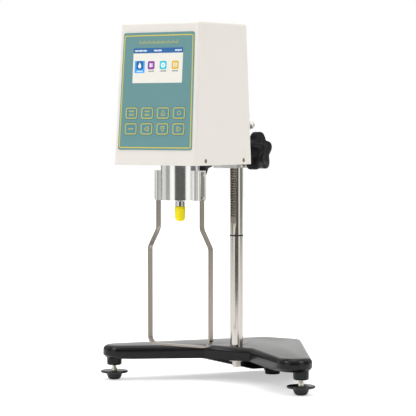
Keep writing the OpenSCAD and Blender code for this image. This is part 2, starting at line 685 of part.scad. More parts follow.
// ---------------------------------------------------------------- head
module cover_shape(inset, low) hull() {
    r = cover_r - inset;
    both_sides() for (y = [head_front_y + cover_r, head_back_y - cover_r])
        translate([head_w / 2 - cover_r, y, head_z - low]) cylinder(r = r, h = cover_rim + low, $fn = 32);
    both_sides() for (y = [head_top_front_y + cover_r, head_top_back_y - cover_r])
        translate([head_top_w / 2 - cover_r, y, head_z + head_h - cover_r]) sphere(r = r, $fn = 32);
}
module head_cover() color("#ece9e0") placed() difference() {
    cover_shape(0, 0);
    cover_shape(cover_t, 1);
    on_front() {
        translate([0, -through, screen_mid_z])
            upright_plate(screen_w - 3, screen_h - 3, 1, cover_t + 2 * through);
        translate([keypad_mid_x, -through, keypad_mid_z])
            upright_plate(keypad_open_w, keypad_open_h, key_corner_r, cover_t + 2 * through);
    }
    // Notch for the carriage's arm
    translate([-arm_w / 2 - 1, back_face_y + 1, head_z - through])
        cube([arm_w + 2, cover_t + 12, arm_low_z + arm_h + 2 * through - head_z]);
    on_back() {
        translate([inlet_x, -cover_t - through, socket_row])
            upright_plate(inlet_w - 6, inlet_h - 5, 1, cover_t + 2 * through);
        translate([port_x, -cover_t - through, socket_row])
            upright_plate(port_w - 12, port_h - 4, 1, cover_t + 2 * through);
    }
    translate([0, level_y, head_z + head_h - cover_t - through])
        cylinder(r = level_r - 2 + seat_gap, h = cover_t + 2 * through);
    each_cover_screw() x_rod(cover_screw_r + seat_gap, 0, head_w);
    each_cover_screw() translate([head_w / 2 - cover_t * 0.8, 0, 0]) rotate([0, 90, 0])
        cylinder(r1 = cover_screw_r, r2 = cover_screw_head_r + 0.9, h = cover_t * 1.4);
}
module each_cover_screw() both_sides() for (y = cover_screw_y) translate([0, y, cover_screw_z]) children();
module cover_screws() color("#a08b63") placed() each_cover_screw() {
    x_rod(cover_screw_r, chassis_w / 2 - 7, head_w / 2 - cover_t * 0.5);
    translate([head_w / 2 - cover_t * 0.75, 0, 0]) rotate([0, 90, 0])
        cylinder(r1 = cover_screw_r, r2 = cover_screw_head_r, h = cover_t * 0.7);
}
module head_chassis() color("#c4c6c8") placed() difference() {
    union() {
        translate([0, (chassis_front_y + chassis_back_y) / 2, chassis_low_z]) linear_extrude(floor_t)
            polygon(rounded(rect(chassis_w, chassis_back_y - chassis_front_y), [2, 2, 2, 2], 4));
        translate([-back_plate_w / 2, back_plate_y, chassis_top_z - through])
            cube([back_plate_w, back_plate_t, back_plate_h + through]);
        // Gussets between floor and back plate
        both_sides() translate([back_plate_w / 2 - 3, back_plate_y + 1, chassis_top_z - through])
            rotate([90, 0, 90]) linear_extrude(3) polygon([[0, 0], [-26, 0], [-26, 4], [0, 34]]);
        // Tongue that carries the optical sensors
        translate([-sensor_w / 2, spindle_y + disc_r + 7, chassis_top_z - through])
            cube([sensor_w, 2.4, encoder_disc_z + 6 - chassis_top_z + through]);
    }
    translate([0, spindle_y, chassis_low_z - through])
        cylinder(r = housing_flange_r, h = floor_t + 2 * through);
    each_housing_screw(chassis_low_z - through) cylinder(r = m3_r + seat_gap, h = floor_t + 2 * through);
    each_cover_screw() x_rod(cover_screw_r + seat_gap, chassis_w / 2 - 8, chassis_w);
    each_arm_screw() y_rod(m4_r + seat_gap, back_plate_y - through, back_face_y + through);
    each_post() translate([0, 0, chassis_top_z - 5]) cylinder(r = m3_r + seat_gap, h = 6);
}
module each_housing_screw(z) for (a = [90, 210, 330])
    translate([housing_screw_r * cos(a), spindle_y + housing_screw_r * sin(a), z]) children();
module each_post() for (sx = [-1, 1], sy = [-1, 1])
    translate([sx * post_offset, spindle_y + sy * post_offset, 0]) children();
module level_ring() color("#b9b4ad") placed() translate([0, level_y, head_z + head_h]) difference() {
    union() {
        cylinder(r = level_r, h = 1.4);
        translate([0, 0, -cover_t - 4]) cylinder(r = level_r - 2, h = cover_t + 4.5);
    }
    translate([0, 0, -3.5]) cylinder(r = level_r - 3.5, h = 6);
}
module level_vial() color("#9fd07a") placed() translate([0, level_y, head_z + head_h - 3.5])
    cylinder(r = level_r - 3.5 - seat_gap, h = 4.4);

// ---------------------------------------------------------------- spindle housing and guard
module spindle_housing() color("#dcdcda") placed() translate([0, spindle_y, 0]) difference() {
    translate([0, 0, housing_z]) cylinder(r = housing_r, h = chassis_low_z - housing_z);
    hollow_z = housing_z + housing_floor_t + bearing_h + 1;
    flange_z = chassis_low_z - housing_flange_t;
    translate([0, 0, hollow_z]) cylinder(r = housing_r - housing_wall, h = flange_z - hollow_z);
    translate([0, 0, housing_z + housing_floor_t]) cylinder(r = bearing_r + seat_gap, h = bearing_h + 2);
    translate([0, 0, housing_z - through]) cylinder(r = spindle_nut_d / 2 + 1, h = housing_floor_t);
    translate([0, 0, housing_z]) cylinder(r = spindle_d / 2 + 2, h = housing_floor_t + through);
    translate([0, 0, flange_z - through]) cylinder(r = housing_flange_r, h = housing_flange_t + 2 * through);
    translate([0, -spindle_y, 0]) each_housing_screw(flange_z - through)
        cylinder(r = m3_r + seat_gap, h = housing_flange_t + 2 * through);
}
module guard_bars() color("#dcdcda") placed() translate([0, spindle_y, 0]) both_sides() difference() {
    translate([housing_r * 0.8, -bar_w / 2, bar_low_z]) cube([guard_top_x - housing_r * 0.8, bar_w, bar_h]);
    translate([0, 0, bar_low_z - through]) cylinder(r = housing_r + seat_gap, h = bar_h + 2 * through);
    // Groove that seats the strip
    translate([guard_top_x - guard_strip_t - seat_gap, -guard_strip_w / 2 - seat_gap, bar_low_z - through])
        cube([guard_strip_t + through, guard_strip_w + 2 * seat_gap,
            guard_top_z - bar_low_z + through + seat_gap]);
    for (z = guard_screw_z) translate([0, 0, z]) x_rod(guard_screw_r + seat_gap, housing_r, guard_top_x);
}
// Half of the guard's centre line, from the top of the leg down to the middle of the bar
function guard_line() =
    let (
        x1 = guard_top_x - guard_strip_t / 2,
        x2 = guard_low_x - guard_strip_t / 2,
        z = guard_low_z + guard_strip_t / 2
    )
    rounded([[x1, guard_top_z], [x1, guard_knee_z + 11], [x2, guard_knee_z - 11], [x2, z], [0, z]],
        [0.01, guard_knee_r, guard_knee_r, guard_corner_r - guard_strip_t / 2, 0.01], 7);
// The strip's outline on one side of the centre line, shifted by half its thickness
function shifted(p, d) = [for (i = [0:len(p) - 1])
    let (t = unit(p[min(i + 1, len(p) - 1)] - p[max(i - 1, 0)])) p[i] + d * [-t[1], t[0]]];
module guard_frame() color("#a59c91") placed() translate([0, spindle_y, 0]) difference() {
    line = guard_path();
    outer = shifted(line, guard_strip_t / 2);
    inner = shifted(line, -guard_strip_t / 2);
    both_sides() translate([0, guard_strip_w / 2, 0]) rotate([90, 0, 0]) linear_extrude(guard_strip_w)
        polygon(concat(outer, [for (i = [len(inner) - 1:-1:0]) inner[i]]));
    both_sides() for (z = guard_screw_z) translate([0, 0, z])
        x_rod(guard_screw_r + seat_gap, guard_top_x - guard_strip_t - through, guard_top_x + through);
}
// The centre line without its two end roundings
function guard_path() =
    let (full = guard_line(), n = len(full))
    concat([full[0]], [for (i = [8:n - 9]) full[i]], [[0, guard_low_z + guard_strip_t / 2]]);
module guard_screws() color("#b9b4ad") placed() translate([0, spindle_y, 0]) both_sides()
    for (z = guard_screw_z) translate([0, 0, z]) {
        x_rod(guard_screw_r, guard_top_x - 7, guard_top_x);
        difference() {
            x_rod(guard_screw_head_r, guard_top_x, guard_top_x + guard_screw_head_h);
            translate([guard_top_x + guard_screw_head_h * 0.5, -guard_screw_head_r, -0.25])
                cube([2, 2 * guard_screw_head_r, 0.5]);
        }
    }
module spindle_shaft() color("#b9b4ad") placed() translate([0, spindle_y, 0]) {
    translate([0, 0, spindle_tip_z]) cylinder(d = spindle_end_d, h = thread_top_z + relief_h - spindle_tip_z);
    translate([0, 0, thread_top_z]) cylinder(r = relief_r, h = nut_z + nut_h * 0.5 - thread_top_z);
    translate([0, 0, nut_z + nut_h * 0.4]) cylinder(d = spindle_d, h = spindle_top_z - nut_z - nut_h * 0.4);
    translate([0, 0, spring_z - 0.6]) cylinder(r = spring_inner_r, h = spring_h + 1.2);
}
module spindle_nut() color("#d8d8d8") placed() translate([0, spindle_y, nut_z]) difference() {
    rotate_extrude() polygon([[0, -nut_neck_h], [nut_neck_r, -nut_neck_h], [nut_neck_r, 0],
        [spindle_nut_d / 2 - 0.4, 0], [spindle_nut_d / 2, 0.4],
        [spindle_nut_d / 2, nut_h - 0.4], [spindle_nut_d / 2 - 0.4, nut_h], [0, nut_h]]);
    translate([0, 0, -nut_neck_h - through]) cylinder(r = relief_r + seat_gap, h = nut_neck_h + nut_h);
    translate([0, 0, nut_h * 0.4]) cylinder(d = spindle_d + 2 * seat_gap, h = nut_h);
}
module spindle_cap() color("#f2dc1e") placed() translate([0, spindle_y, cap_z]) difference() {
    rotate_extrude() polygon(concat([[0, 0]],
        [for (a = [0:9:90]) [cap_r - 4.5 + 4.5 * sin(a), 4.5 - 4.5 * cos(a)]],
        [[cap_r, cap_l - cap_collar_h - 0.4], [cap_r + 0.35, cap_l - cap_collar_h],
            [cap_r + 0.35, cap_l - 0.4], [cap_r, cap_l], [0, cap_l]]));
    translate([0, 0, cap_floor_t]) cylinder(r = cap_bore_r, h = cap_l);
    translate([0, 0, cap_l - nut_neck_h]) cylinder(r = nut_neck_r + run_gap, h = cap_l);
}

// ---------------------------------------------------------------- drive
module bearings() color("#a9a9a9") placed() translate([0, spindle_y, 0])
    for (z = [housing_z + housing_floor_t, bridge_z, motor_plate_z]) translate([0, 0, z]) difference() {
        cylinder(r = bearing_r, h = bearing_h);
        translate([0, 0, -through]) cylinder(d = spindle_d + 2 * run_gap, h = bearing_h + 2 * through);
        translate([0, 0, bearing_h - 0.5]) difference() {
            cylinder(r = bearing_r - 1.2, h = 1);
            translate([0, 0, -through]) cylinder(r = spindle_d / 2 + 1.2, h = 3);
        }
    }
module drive_plate(t) difference() {
    linear_extrude(t) polygon(rounded(rect(2 * post_offset + 12, 2 * post_offset + 12), [5, 5, 5, 5], 4));
    translate([0, 0, -through]) cylinder(r = bearing_r + seat_gap, h = t + 2 * through);
    for (sx = [-1, 1], sy = [-1, 1]) translate([sx * post_offset, sy * post_offset, -through])
        cylinder(r = post_r + seat_gap, h = t + 2 * through);
    // Notch around the sensors' tongue
    translate([-sensor_w / 2 - 1, disc_r + 6, -through])
        cube([sensor_w + 2, 2 * post_offset, t + 2 * through]);
}
module bearing_bridge() color("#c4c6c8") placed() translate([0, spindle_y, bridge_z]) drive_plate(bridge_t);
module motor_plate() color("#c4c6c8") placed() translate([0, spindle_y, motor_plate_z])
    drive_plate(motor_plate_t);
module drive_posts() color("#c2a14e") placed() each_post() {
    translate([0, 0, chassis_top_z]) cylinder(r = post_r, h = motor_plate_z + motor_plate_t - chassis_top_z);
    translate([0, 0, chassis_top_z - 4.5]) cylinder(r = m3_r, h = 5);
    // Collar under each plate
    for (z = [bridge_z, motor_plate_z]) translate([0, 0, z - 2]) cylinder(r = post_r + 1.5, h = 2 - seat_gap);
}
module motor() color("#3a3a3e") placed() translate([0, spindle_y, motor_z]) difference() {
    linear_extrude(motor_h) polygon(rounded(rect(motor_w, motor_w), [4, 4, 4, 4], 3));
    translate([0, 0, -through]) cylinder(d = spindle_d + 2 * run_gap, h = motor_bore_h);
    // Step between the end plates
    for (a = [0:90:270]) rotate([0, 0, a]) translate([motor_w / 2 - motor_step, -motor_w, motor_end_t])
        cube([motor_w, 2 * motor_w, motor_h - 2 * motor_end_t]);
}
module slotted_disc() difference() {
    linear_extrude(disc_t) difference() {
        circle(r = disc_r);
        for (i = [0:disc_slots - 1]) rotate([0, 0, i * 360 / disc_slots])
            translate([disc_r - 5, -0.8]) square([3.5, 1.6]);
    }
    translate([0, 0, -through]) cylinder(d = spindle_d + 2 * seat_gap, h = disc_t + 2 * through);
}
module disc_hub(z) translate([0, 0, z]) difference() {
    cylinder(r = spindle_d / 2 + 3, h = 3);
    translate([0, 0, -through]) cylinder(d = spindle_d + 2 * seat_gap, h = 5);
}
module sensing_disc() color("#2f2f33") placed() translate([0, spindle_y, sensing_disc_z]) {
    slotted_disc();
    disc_hub(disc_t);
}
module encoder_disc() color("#2f2f33") placed() translate([0, spindle_y, encoder_disc_z]) {
    slotted_disc();
    disc_hub(disc_t);
}
module hairspring() color("#7d8ba0") placed() translate([0, spindle_y, spring_z])
    linear_extrude(spring_h) polygon(concat(
        [for (i = [0:12 * spring_turns]) spring_point(i, spring_t / 2)],
        [for (i = [12 * spring_turns:-1:0]) spring_point(i, -spring_t / 2)]));
function spring_point(i, side) =
    let (
        first_r = spring_inner_r + spring_t,
        r = first_r + (spring_outer_r - first_r) * i / (12 * spring_turns)
    )
    (r + side) * [cos(30 * i), sin(30 * i)];
module drive_shaft() color("#b9b4ad") placed() translate([0, spindle_y, 0]) {
    translate([0, 0, drive_low_z]) cylinder(d = spindle_d, h = motor_z + 10 - drive_low_z);
    translate([0, 0, drive_low_z]) cylinder(r = spring_outer_r + 2.5, h = 1.2);
    // Pin that takes the outer end of the hairspring
    rotate([0, 0, 360 * spring_turns]) translate([spring_outer_r + spring_t / 2 + apart + 0.7, 0, spring_z])
        cylinder(r = 0.7, h = drive_low_z - spring_z + 0.5, $fn = 16);
}
module sensor(z) translate([0, 0, z - sensor_t / 2]) difference() {
    translate([-sensor_w / 2, disc_r - 7, 0]) cube([sensor_w, 14, sensor_t]);
    translate([-sensor_w / 2 - through, disc_r - 8, sensor_t / 2 - 1.4])
        cube([sensor_w + 2 * through, 10, 2.8]);
}
module optical_sensors() color("#26262a") placed() translate([0, spindle_y, 0]) {
    sensor(sensing_disc_z + disc_t / 2);
    sensor(encoder_disc_z + disc_t / 2);
}

// ---------------------------------------------------------------- panel
module each_key(which = [0:7]) for (k = which)
    translate([key_col_x[k % 4], 0, key_row_z[floor(k / 4)]]) children();
module panel_overlay() color("#3f8f96") placed() on_front() difference() {
    outline = [[-panel_low_w, panel_low], [panel_low_w, panel_low],
        [panel_top_w, panel_low + panel_h], [-panel_top_w, panel_low + panel_h]];
    translate([0, -overlay_t, 0]) rotate([90, 0, 0]) mirror([0, 0, 1]) linear_extrude(overlay_t)
        polygon(rounded(outline, [2.5, 2.5, 2.5, 2.5], 5));
    translate([0, -overlay_t - through, screen_mid_z])
        upright_plate(screen_w, screen_h, 0.6, overlay_t + 2 * through);
    each_key() translate([0, -overlay_t - through, 0])
        upright_plate(key_w + 2 * key_gap, key_h + 2 * key_gap, key_corner_r + key_gap,
            overlay_t + 2 * through);
}
module display_window() color("#20262c") placed() on_front()
    translate([0, -overlay_t, screen_mid_z]) upright_plate(screen_w - 0.1, screen_h - 0.1, 0.6, overlay_t);
module display_module() color("#1f5f3a") placed() on_front() translate([0, cover_t, screen_mid_z]) {
    upright_plate(screen_w + 8, screen_h + 8, 1, display_t);
    translate([0, display_t, 0]) upright_plate(screen_w + 14, display_board_h, 1, board_t);
}
module keypad_board() color("#1f5f3a") placed() on_front()
    translate([keypad_mid_x, cover_t, keypad_mid_z])
        upright_plate(keypad_open_w + 2, keypad_board_h, 2, board_t);
module key_domes() color("#cfccc6") placed() on_front() each_key() rotate([90, 0, 0])
    rotate_extrude($fn = 24) polygon([[0, -cover_t], [dome_r, -cover_t], [dome_r, -cover_t + 0.2],
        [dome_r * 0.6, -cover_t + dome_h], [0, -cover_t + dome_h]]);
module key(k) color("#57a0a6") placed() on_front() each_key([k])
    translate([0, -overlay_t - key_rise, 0])
        upright_plate(key_w, key_h, key_corner_r, overlay_t + key_rise + key_in);
module key_1() key(0);
module key_2() key(1);
module key_3() key(2);
module key_4() key(3);
module key_5() key(4);
module key_6() key(5);
module key_7() key(6);
module key_8() key(7);
module main_board() color("#1f5f3a") placed() on_front() translate([0, main_board_in, main_board_low]) {
    difference() {
        translate([-main_board_w / 2, 0, 0]) cube([main_board_w, board_t, main_board_h]);
        translate([0, 0, -main_board_low]) each_board_post() y_rod(m3_r + seat_gap, -through, 3);
    }
    // Processor, regulator and connectors
    translate([-12, board_t, 50]) cube([20, 1.6, 20]);
    translate([22, board_t, 62]) cube([10, 4, 14]);
    translate([-40, board_t, 20]) cube([24, 3, 6]);
    translate([-38, board_t, 70]) y_rod(4, 0, 7);
}
module each_board_post() both_sides() for (z = board_post_z)
    translate([main_board_w / 2 - board_margin, 0, z]) children();
module board_posts() color("#c2a14e") placed() on_front() each_board_post() {
    y_rod(2.6, cover_t + seat_gap, main_board_in);
    y_rod(m3_r, main_board_in, main_board_in + board_t + 1.5);
}

// ---------------------------------------------------------------- rear sockets
module power_inlet() color("#19191b") placed() on_back() translate([inlet_x, 0, socket_row]) difference() {
    union() {
        upright_plate(inlet_w, inlet_h, 3, 2.4);
        translate([0, -14, 0]) upright_plate(inlet_w - 6.2, inlet_h - 5.2, 1, 15);
    }
    // Recess for a mains plug with its three blades left standing
    translate([-8.5, -10, 0]) difference() {
        upright_plate(23, 17, 3, 14);
        for (x = [-7, 0, 7]) translate([x - 1, -through, -2]) cube([2, 10, 4]);
    }
    // Opening for the rocker
    translate([13.5, -11, 0]) upright_plate(11.6, 18.6, 0.6, 15);
    translate([13.5, rocker_pivot_in, 0]) x_rod(1.05, -7, 7);
}
module power_rocker() color("#26262a") placed() on_back()
    translate([inlet_x + 13.5, rocker_pivot_in, socket_row]) {
    // Two faces that meet in a shallow valley, rocked about the pin
    rotate([rocker_rest, 0, 0]) translate([-5.4, 0, 0]) rotate([90, 0, 90]) linear_extrude(10.8)
        polygon([[-3, -3], [4.2, -8.6], [5.8, -8.2], [4.6, 0], [5.8, 8.2], [4.2, 8.6], [-3, 3]]);
    x_rod(1, -6.6, 6.6);
}
module data_port() color("#a9a9a9") placed() on_back() translate([port_x, 0, socket_row]) {
    difference() {
        union() {
            upright_plate(port_w, port_h, 1, 1);
            translate([0, -9, 0]) upright_plate(port_w - 12.2, port_h - 4.2, 1, 15);
        }
        translate([0, -2, 0]) upright_plate(port_w - 14, port_h - 6, 1, 9);
        for (x = [-12.5, 12.5]) translate([x, -through, 0]) y_rod(1.6, -1, 4);
    }
    // Contact block with two rows of sockets
    translate([0, -2.5, 0]) upright_plate(port_w - 15.4, port_h - 7.4, 0.8, 7);
}

base_casting();
column();
column_bolt();
stop_ring();
column_cap();
rear_foot();
foot_disc_left();
foot_disc_right();
foot_stud_left();
foot_stud_right();
carriage_block();
side_plate();
socket_screws();
pinion_bushes();
brake_pads();
friction_screw();
pinion_shaft();
lift_knob();
lock_stud();
lock_knob();
head_chassis();
head_cover();
cover_screws();
level_ring();
level_vial();
spindle_housing();
guard_bars();
guard_frame();
guard_screws();
spindle_shaft();
spindle_nut();
sensing_disc();
hairspring();
spindle_cap();
drive_shaft();
encoder_disc();
bearings();
bearing_bridge();
motor_plate();
drive_posts();
motor();
optical_sensors();
panel_overlay();
display_window();
display_module();
keypad_board();
key_domes();
key_1();
key_2();
key_3();
key_4();
key_5();
key_6();
key_7();
key_8();
main_board();
board_posts();
power_inlet();
power_rocker();
data_port();
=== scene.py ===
"""Finishes, printed panel, lit display and a plain studio for a rotational viscometer."""

import json
import math

import bmesh
import bpy
from bpy.props import FloatProperty, FloatVectorProperty, IntProperty, PointerProperty
from mathutils import Matrix, Vector

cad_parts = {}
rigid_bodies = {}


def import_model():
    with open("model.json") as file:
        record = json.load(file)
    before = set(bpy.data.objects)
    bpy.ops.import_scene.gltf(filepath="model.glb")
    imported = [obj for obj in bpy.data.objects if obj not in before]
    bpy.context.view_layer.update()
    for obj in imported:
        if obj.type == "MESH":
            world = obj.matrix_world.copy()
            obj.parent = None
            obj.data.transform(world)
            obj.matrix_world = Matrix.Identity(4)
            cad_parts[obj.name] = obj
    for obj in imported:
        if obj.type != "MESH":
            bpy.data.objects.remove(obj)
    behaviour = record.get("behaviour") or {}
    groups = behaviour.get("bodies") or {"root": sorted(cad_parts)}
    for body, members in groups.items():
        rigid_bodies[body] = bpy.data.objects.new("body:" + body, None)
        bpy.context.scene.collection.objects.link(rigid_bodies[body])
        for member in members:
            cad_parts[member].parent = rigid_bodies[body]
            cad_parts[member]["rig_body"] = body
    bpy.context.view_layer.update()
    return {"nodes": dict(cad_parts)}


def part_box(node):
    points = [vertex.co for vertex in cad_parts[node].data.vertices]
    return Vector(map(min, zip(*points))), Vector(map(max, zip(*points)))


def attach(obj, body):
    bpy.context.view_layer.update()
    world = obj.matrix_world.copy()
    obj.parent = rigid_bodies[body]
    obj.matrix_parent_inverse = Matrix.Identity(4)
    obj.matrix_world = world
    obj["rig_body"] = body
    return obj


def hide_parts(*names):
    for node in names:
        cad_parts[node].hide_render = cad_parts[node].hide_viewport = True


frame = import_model()

bl_info = {
    "name": "Viscometer finishes",
    "version": (1, 0, 0),
    "blender": (4, 5, 0),
    "location": "View3D > Sidebar > Viscometer",
    "description": "Finishes, printed panel and studio for a rotational viscometer",
    "category": "Object",
}

MM = 0.001
PRINT_LIFT = 0.02 * MM  # an ink layer lies this far off the face below it
INK_T = 0.04 * MM  # thickness of an ink layer
INK_MIDDLE = PRINT_LIFT + INK_T / 2  # from the face below to the middle of an ink layer
MERGE_REACH = 0.01 * MM  # corners of a CAD mesh closer than this are one
FLAT_ANGLE = 0.3  # degrees between faces that count as one flat face
FRONT_FACING = -0.95  # a face whose normal has less than this along Y faces the front
LAYER_STEP = 3  # print lifts between two layers on the display
STROKE_OVERRUN = 0.35  # share of half a stroke's width that it runs past its end
DASH_SHARE = 0.62  # share of its pitch that a dash of the display fills
LOW_DASH = 0.75  # height of every third dash against the others

# What is printed on each key, upper row first
KEY_SIGNS = {
    "key_1": "two bars",
    "key_2": "two bars",
    "key_3": "up",
    "key_4": "ring",
    "key_5": "one bar",
    "key_6": "left",
    "key_7": "down",
    "key_8": "right",
}

# Signs of the keys, in millimetres and degrees
RING_RADIUS = 2.3
DASH_ROW = 2.2  # from the middle to a row of dashes
DASH_PITCH = 1.85
DASH_SIZE = (1.3 * MM, 1.35 * MM)
DIVIDER_SIZE = (6.8 * MM, 0.3 * MM)
ARROW_HEAD = ((-1.1, -2.8), (-1.1, 2.8), (3.4, 0.0))
ARROW_BAR = ((-2.8, -2.8), (-2.8, 2.8))
ARROW_TURNS = {"up": 90, "left": 180, "down": 270, "right": 0}

# Camera: place and reach in metres, heading and dip in degrees, lens and sensor in millimetres
CAMERA_PLACE = Vector((1.3547, -2.0743, 0.3199))
CAMERA_TURN = 33.537
CAMERA_DIP = 2.431
CAMERA_LENS = 176.335
CAMERA_SENSOR = 36.0
CAMERA_REACH = 50.0

# Studio, in metres
FLOOR_FRONT = 1.0
FLOOR_BACK = 6.0
FLOOR_SIDE = 3.0
LIGHT_AIM = (0.0, 0.0, 0.2)
TOP_LIGHT_PLACE = (-0.3, -0.1, 1.9)
TOP_LIGHT_SIZE = (1.8, 1.8)
SIDE_LIGHT_REACH = 1.45
SIDE_LIGHT_Z = 1.35
SIDE_LIGHT_SIZE = (0.6, 0.8)
SIDE_LIGHTS = {"left_light": -56, "right_light": 54}  # degrees to the right of the camera
WHITE = (1.0, 1.0, 1.0, 1.0)
# Degrees to the right of the camera, and how bright the room is there
ROOM = (
    (-180, 1.15), (-160, 1.1), (-154, 0.3), (-138, 0.3), (-132, 1.0), (-96, 1.0), (-90, 0.5), (-64, 0.5),
    (-60, 1.5), (-33, 1.5), (-29, 0.15), (32, 0.15), (37, 1.5), (64, 1.5), (69, 0.2), (104, 0.2),
    (112, 1.0), (132, 1.0), (138, 0.3), (154, 0.3), (160, 1.1), (180, 1.15),
)
ROOM_WARMTH = 0.985  # blue against red and green
CEILING = 1.1  # brightness overhead
CEILING_FROM, CEILING_FULL = 0.35, 0.6  # rise of a direction where the ceiling begins and is all


def shade(red, green, blue):
    """Linear colour for a colour given in display values from 0 to 255."""
    return tuple(
        c / 12.92 if c <= 0.04045 else ((c + 0.055) / 1.055) ** 2.4
        for c in (red / 255, green / 255, blue / 255)
    )


def colour(name, description, default):
    """A colour that can be set in the sidebar."""
    return FloatVectorProperty(
        name=name, description=description, subtype="COLOR", size=3, min=0.0, max=1.0, default=default
    )


def length(name, description, millimetres):
    """A length that can be set in the sidebar."""
    return FloatProperty(
        name=name, description=description, unit="LENGTH", default=millimetres * MM, min=0.0, precision=5
    )


def power(name, description, watts):
    """A lamp's power that can be set in the sidebar."""
    return FloatProperty(name=name, description=description, unit="POWER", default=watts, min=0.0)


class FinishColours(bpy.types.PropertyGroup):
    """Colours of the painted, moulded and printed faces."""

    enamel: colour("Base enamel", "Gloss enamel on the cast base", (0.006, 0.006, 0.0065))
    cover: colour("Cover paint", "Satin paint on the head's cover", (0.835, 0.797, 0.742))
    block: colour("Block coat", "Coat of the sliding block", (0.62, 0.62, 0.60))
    film: colour("Panel film", "Background print of the panel film", (0.140, 0.305, 0.316))
    key_film: colour("Key film", "Print on the keys", (0.102, 0.274, 0.306))
    ink: colour("Panel lines", "Lines and signs printed on the film", (0.68, 0.60, 0.10))
    cap: colour("Protective cap", "Soft cap over the spindle's end", (0.97, 0.82, 0.001))
    knob: colour("Knobs", "Moulded star knobs", (0.006, 0.006, 0.006))
    steel: colour("Steel", "Ground steel of column and shafts", (0.605, 0.568, 0.525))


class PanelPrint(bpy.types.PropertyGroup):
    """Sizes of what is printed on the panel film and the keys."""

    border_side: length("Border at the sides", "From the film's edge to the border line", 1.2)
    border_low: length("Border below", "From the film's lower edge to the border line", 1.9)
    border_top: length("Border above", "From the film's upper edge to the border line", 2.9)
    border_line: length("Border line", "Width of the border line", 1.3)
    border_corner: length("Border corner", "Corner radius of the border line", 2.0)
    key_line: length("Key line", "Width of the line round a key", 1.05)
    key_corner: length("Key corner", "Corner radius of the line round a key", 3.0)
    key_inset: length("Key inset", "From a key's edge to the line round it", 0.25)
    sign_line: length("Sign line", "Width of the strokes of a key's sign", 0.6)
    marks_drop: length("Scale drop", "From the film's upper edge to the foot of the scale marks", 13.0)
    mark_pitch: length("Scale pitch", "Distance between scale marks", 1.35)
    mark_width: length("Mark width", "Width of a scale mark", 0.4)
    mark_short: length("Short mark", "Height of a short scale mark", 2.4)
    mark_long: length("Long mark", "Height of a long scale mark", 4.4)
    mark_count: IntProperty(name="Scale marks", description="Marks above the display", default=41, min=2)
    long_every: IntProperty(name="Long every", description="One mark in so many is long", default=5, min=1)


class StudioSettings(bpy.types.PropertyGroup):
    """Light and floor."""

    room: FloatProperty(name="Room", description="Brightness of the room around", default=0.75, min=0.0)
    top_light: power("Top light", "Power of the soft light overhead", 12.0)
    side_light: power("Side light", "Power of each soft light at the side", 6.5)
    floor: FloatProperty(name="Floor", description="Lightness of the floor", default=0.86, min=0.0, max=1.0)


def colours():
    return bpy.context.scene.viscometer_colours


def panel_print():
    return bpy.context.scene.viscometer_print


# ---------------------------------------------------------------- node helpers
def add_node(tree, kind, values=None, **settings):
    """A new node with its settings and the values on its inputs."""
    node = tree.nodes.new(kind)
    for setting, value in settings.items():
        setattr(node, setting, value)
    for label, value in (values or {}).items():
        node.inputs[label].default_value = value
    return node


def join(tree, *links):
    """Links, each given as from node, its output, to node, its input."""
    for source, output, target, socket in links:
        tree.links.new(source.outputs[output], target.inputs[socket])


def shader_group(name, inputs, output):
    """A new shader group with the given inputs and one output, and the nodes at its two ends."""
    tree = bpy.data.node_groups.new(name, "ShaderNodeTree")
    for label, kind, default in inputs:
        tree.interface.new_socket(label, in_out="INPUT", socket_type=kind).default_value = default
    tree.interface.new_socket(output, in_out="OUTPUT", socket_type="NodeSocketFloat")
    return tree, tree.nodes.new("NodeGroupInput"), tree.nodes.new("NodeGroupOutput")


# ---------------------------------------------------------------- shader groups
def lines_group():
    """Fine lines left by grinding, brushing or turning: noise stretched along the lines."""
    name = "Machining lines"
    if name in bpy.data.node_groups:
        return bpy.data.node_groups[name]
    inputs = [("Stretch", "NodeSocketVector", (1.0, 1.0, 1.0)), ("Scale", "NodeSocketFloat", 1000.0)]
    tree, start, end = shader_group(name, inputs, "Height")
    place = add_node(tree, "ShaderNodeTexCoord")
    stretch = add_node(tree, "ShaderNodeVectorMath", operation="MULTIPLY")
    noise = add_node(tree, "ShaderNodeTexNoise", {"Detail": 3.0})
    join(
        tree,
        (place, "Object", stretch, 0),
        (start, "Stretch", stretch, 1),
        (stretch, "Vector", noise, "Vector"),
        (start, "Scale", noise, "Scale"),
        (noise, "Fac", end, "Height"),
    )
    return tree


def grain_group():
    """Orange peel of a paint or the fine grain of a moulding, with a coarser swell under it."""
    name = "Surface grain"
    if name in bpy.data.node_groups:
        return bpy.data.node_groups[name]
    inputs = [("Scale", "NodeSocketFloat", 1500.0), ("Swell", "NodeSocketFloat", 0.3)]
    tree, start, end = shader_group(name, inputs, "Height")
    place = add_node(tree, "ShaderNodeTexCoord")
    fine = add_node(tree, "ShaderNodeTexNoise")
    broad = add_node(tree, "ShaderNodeTexNoise", {"Scale": 90.0})
    mix = add_node(tree, "ShaderNodeMix")
    join(
        tree,
        (place, "Object", fine, "Vector"),
        (place, "Object", broad, "Vector"),
        (start, "Scale", fine, "Scale"),
        (start, "Swell", mix, "Factor"),
        (fine, "Fac", mix, "A"),
        (broad, "Fac", mix, "B"),
        (mix, "Result", end, "Height"),
    )
    return tree


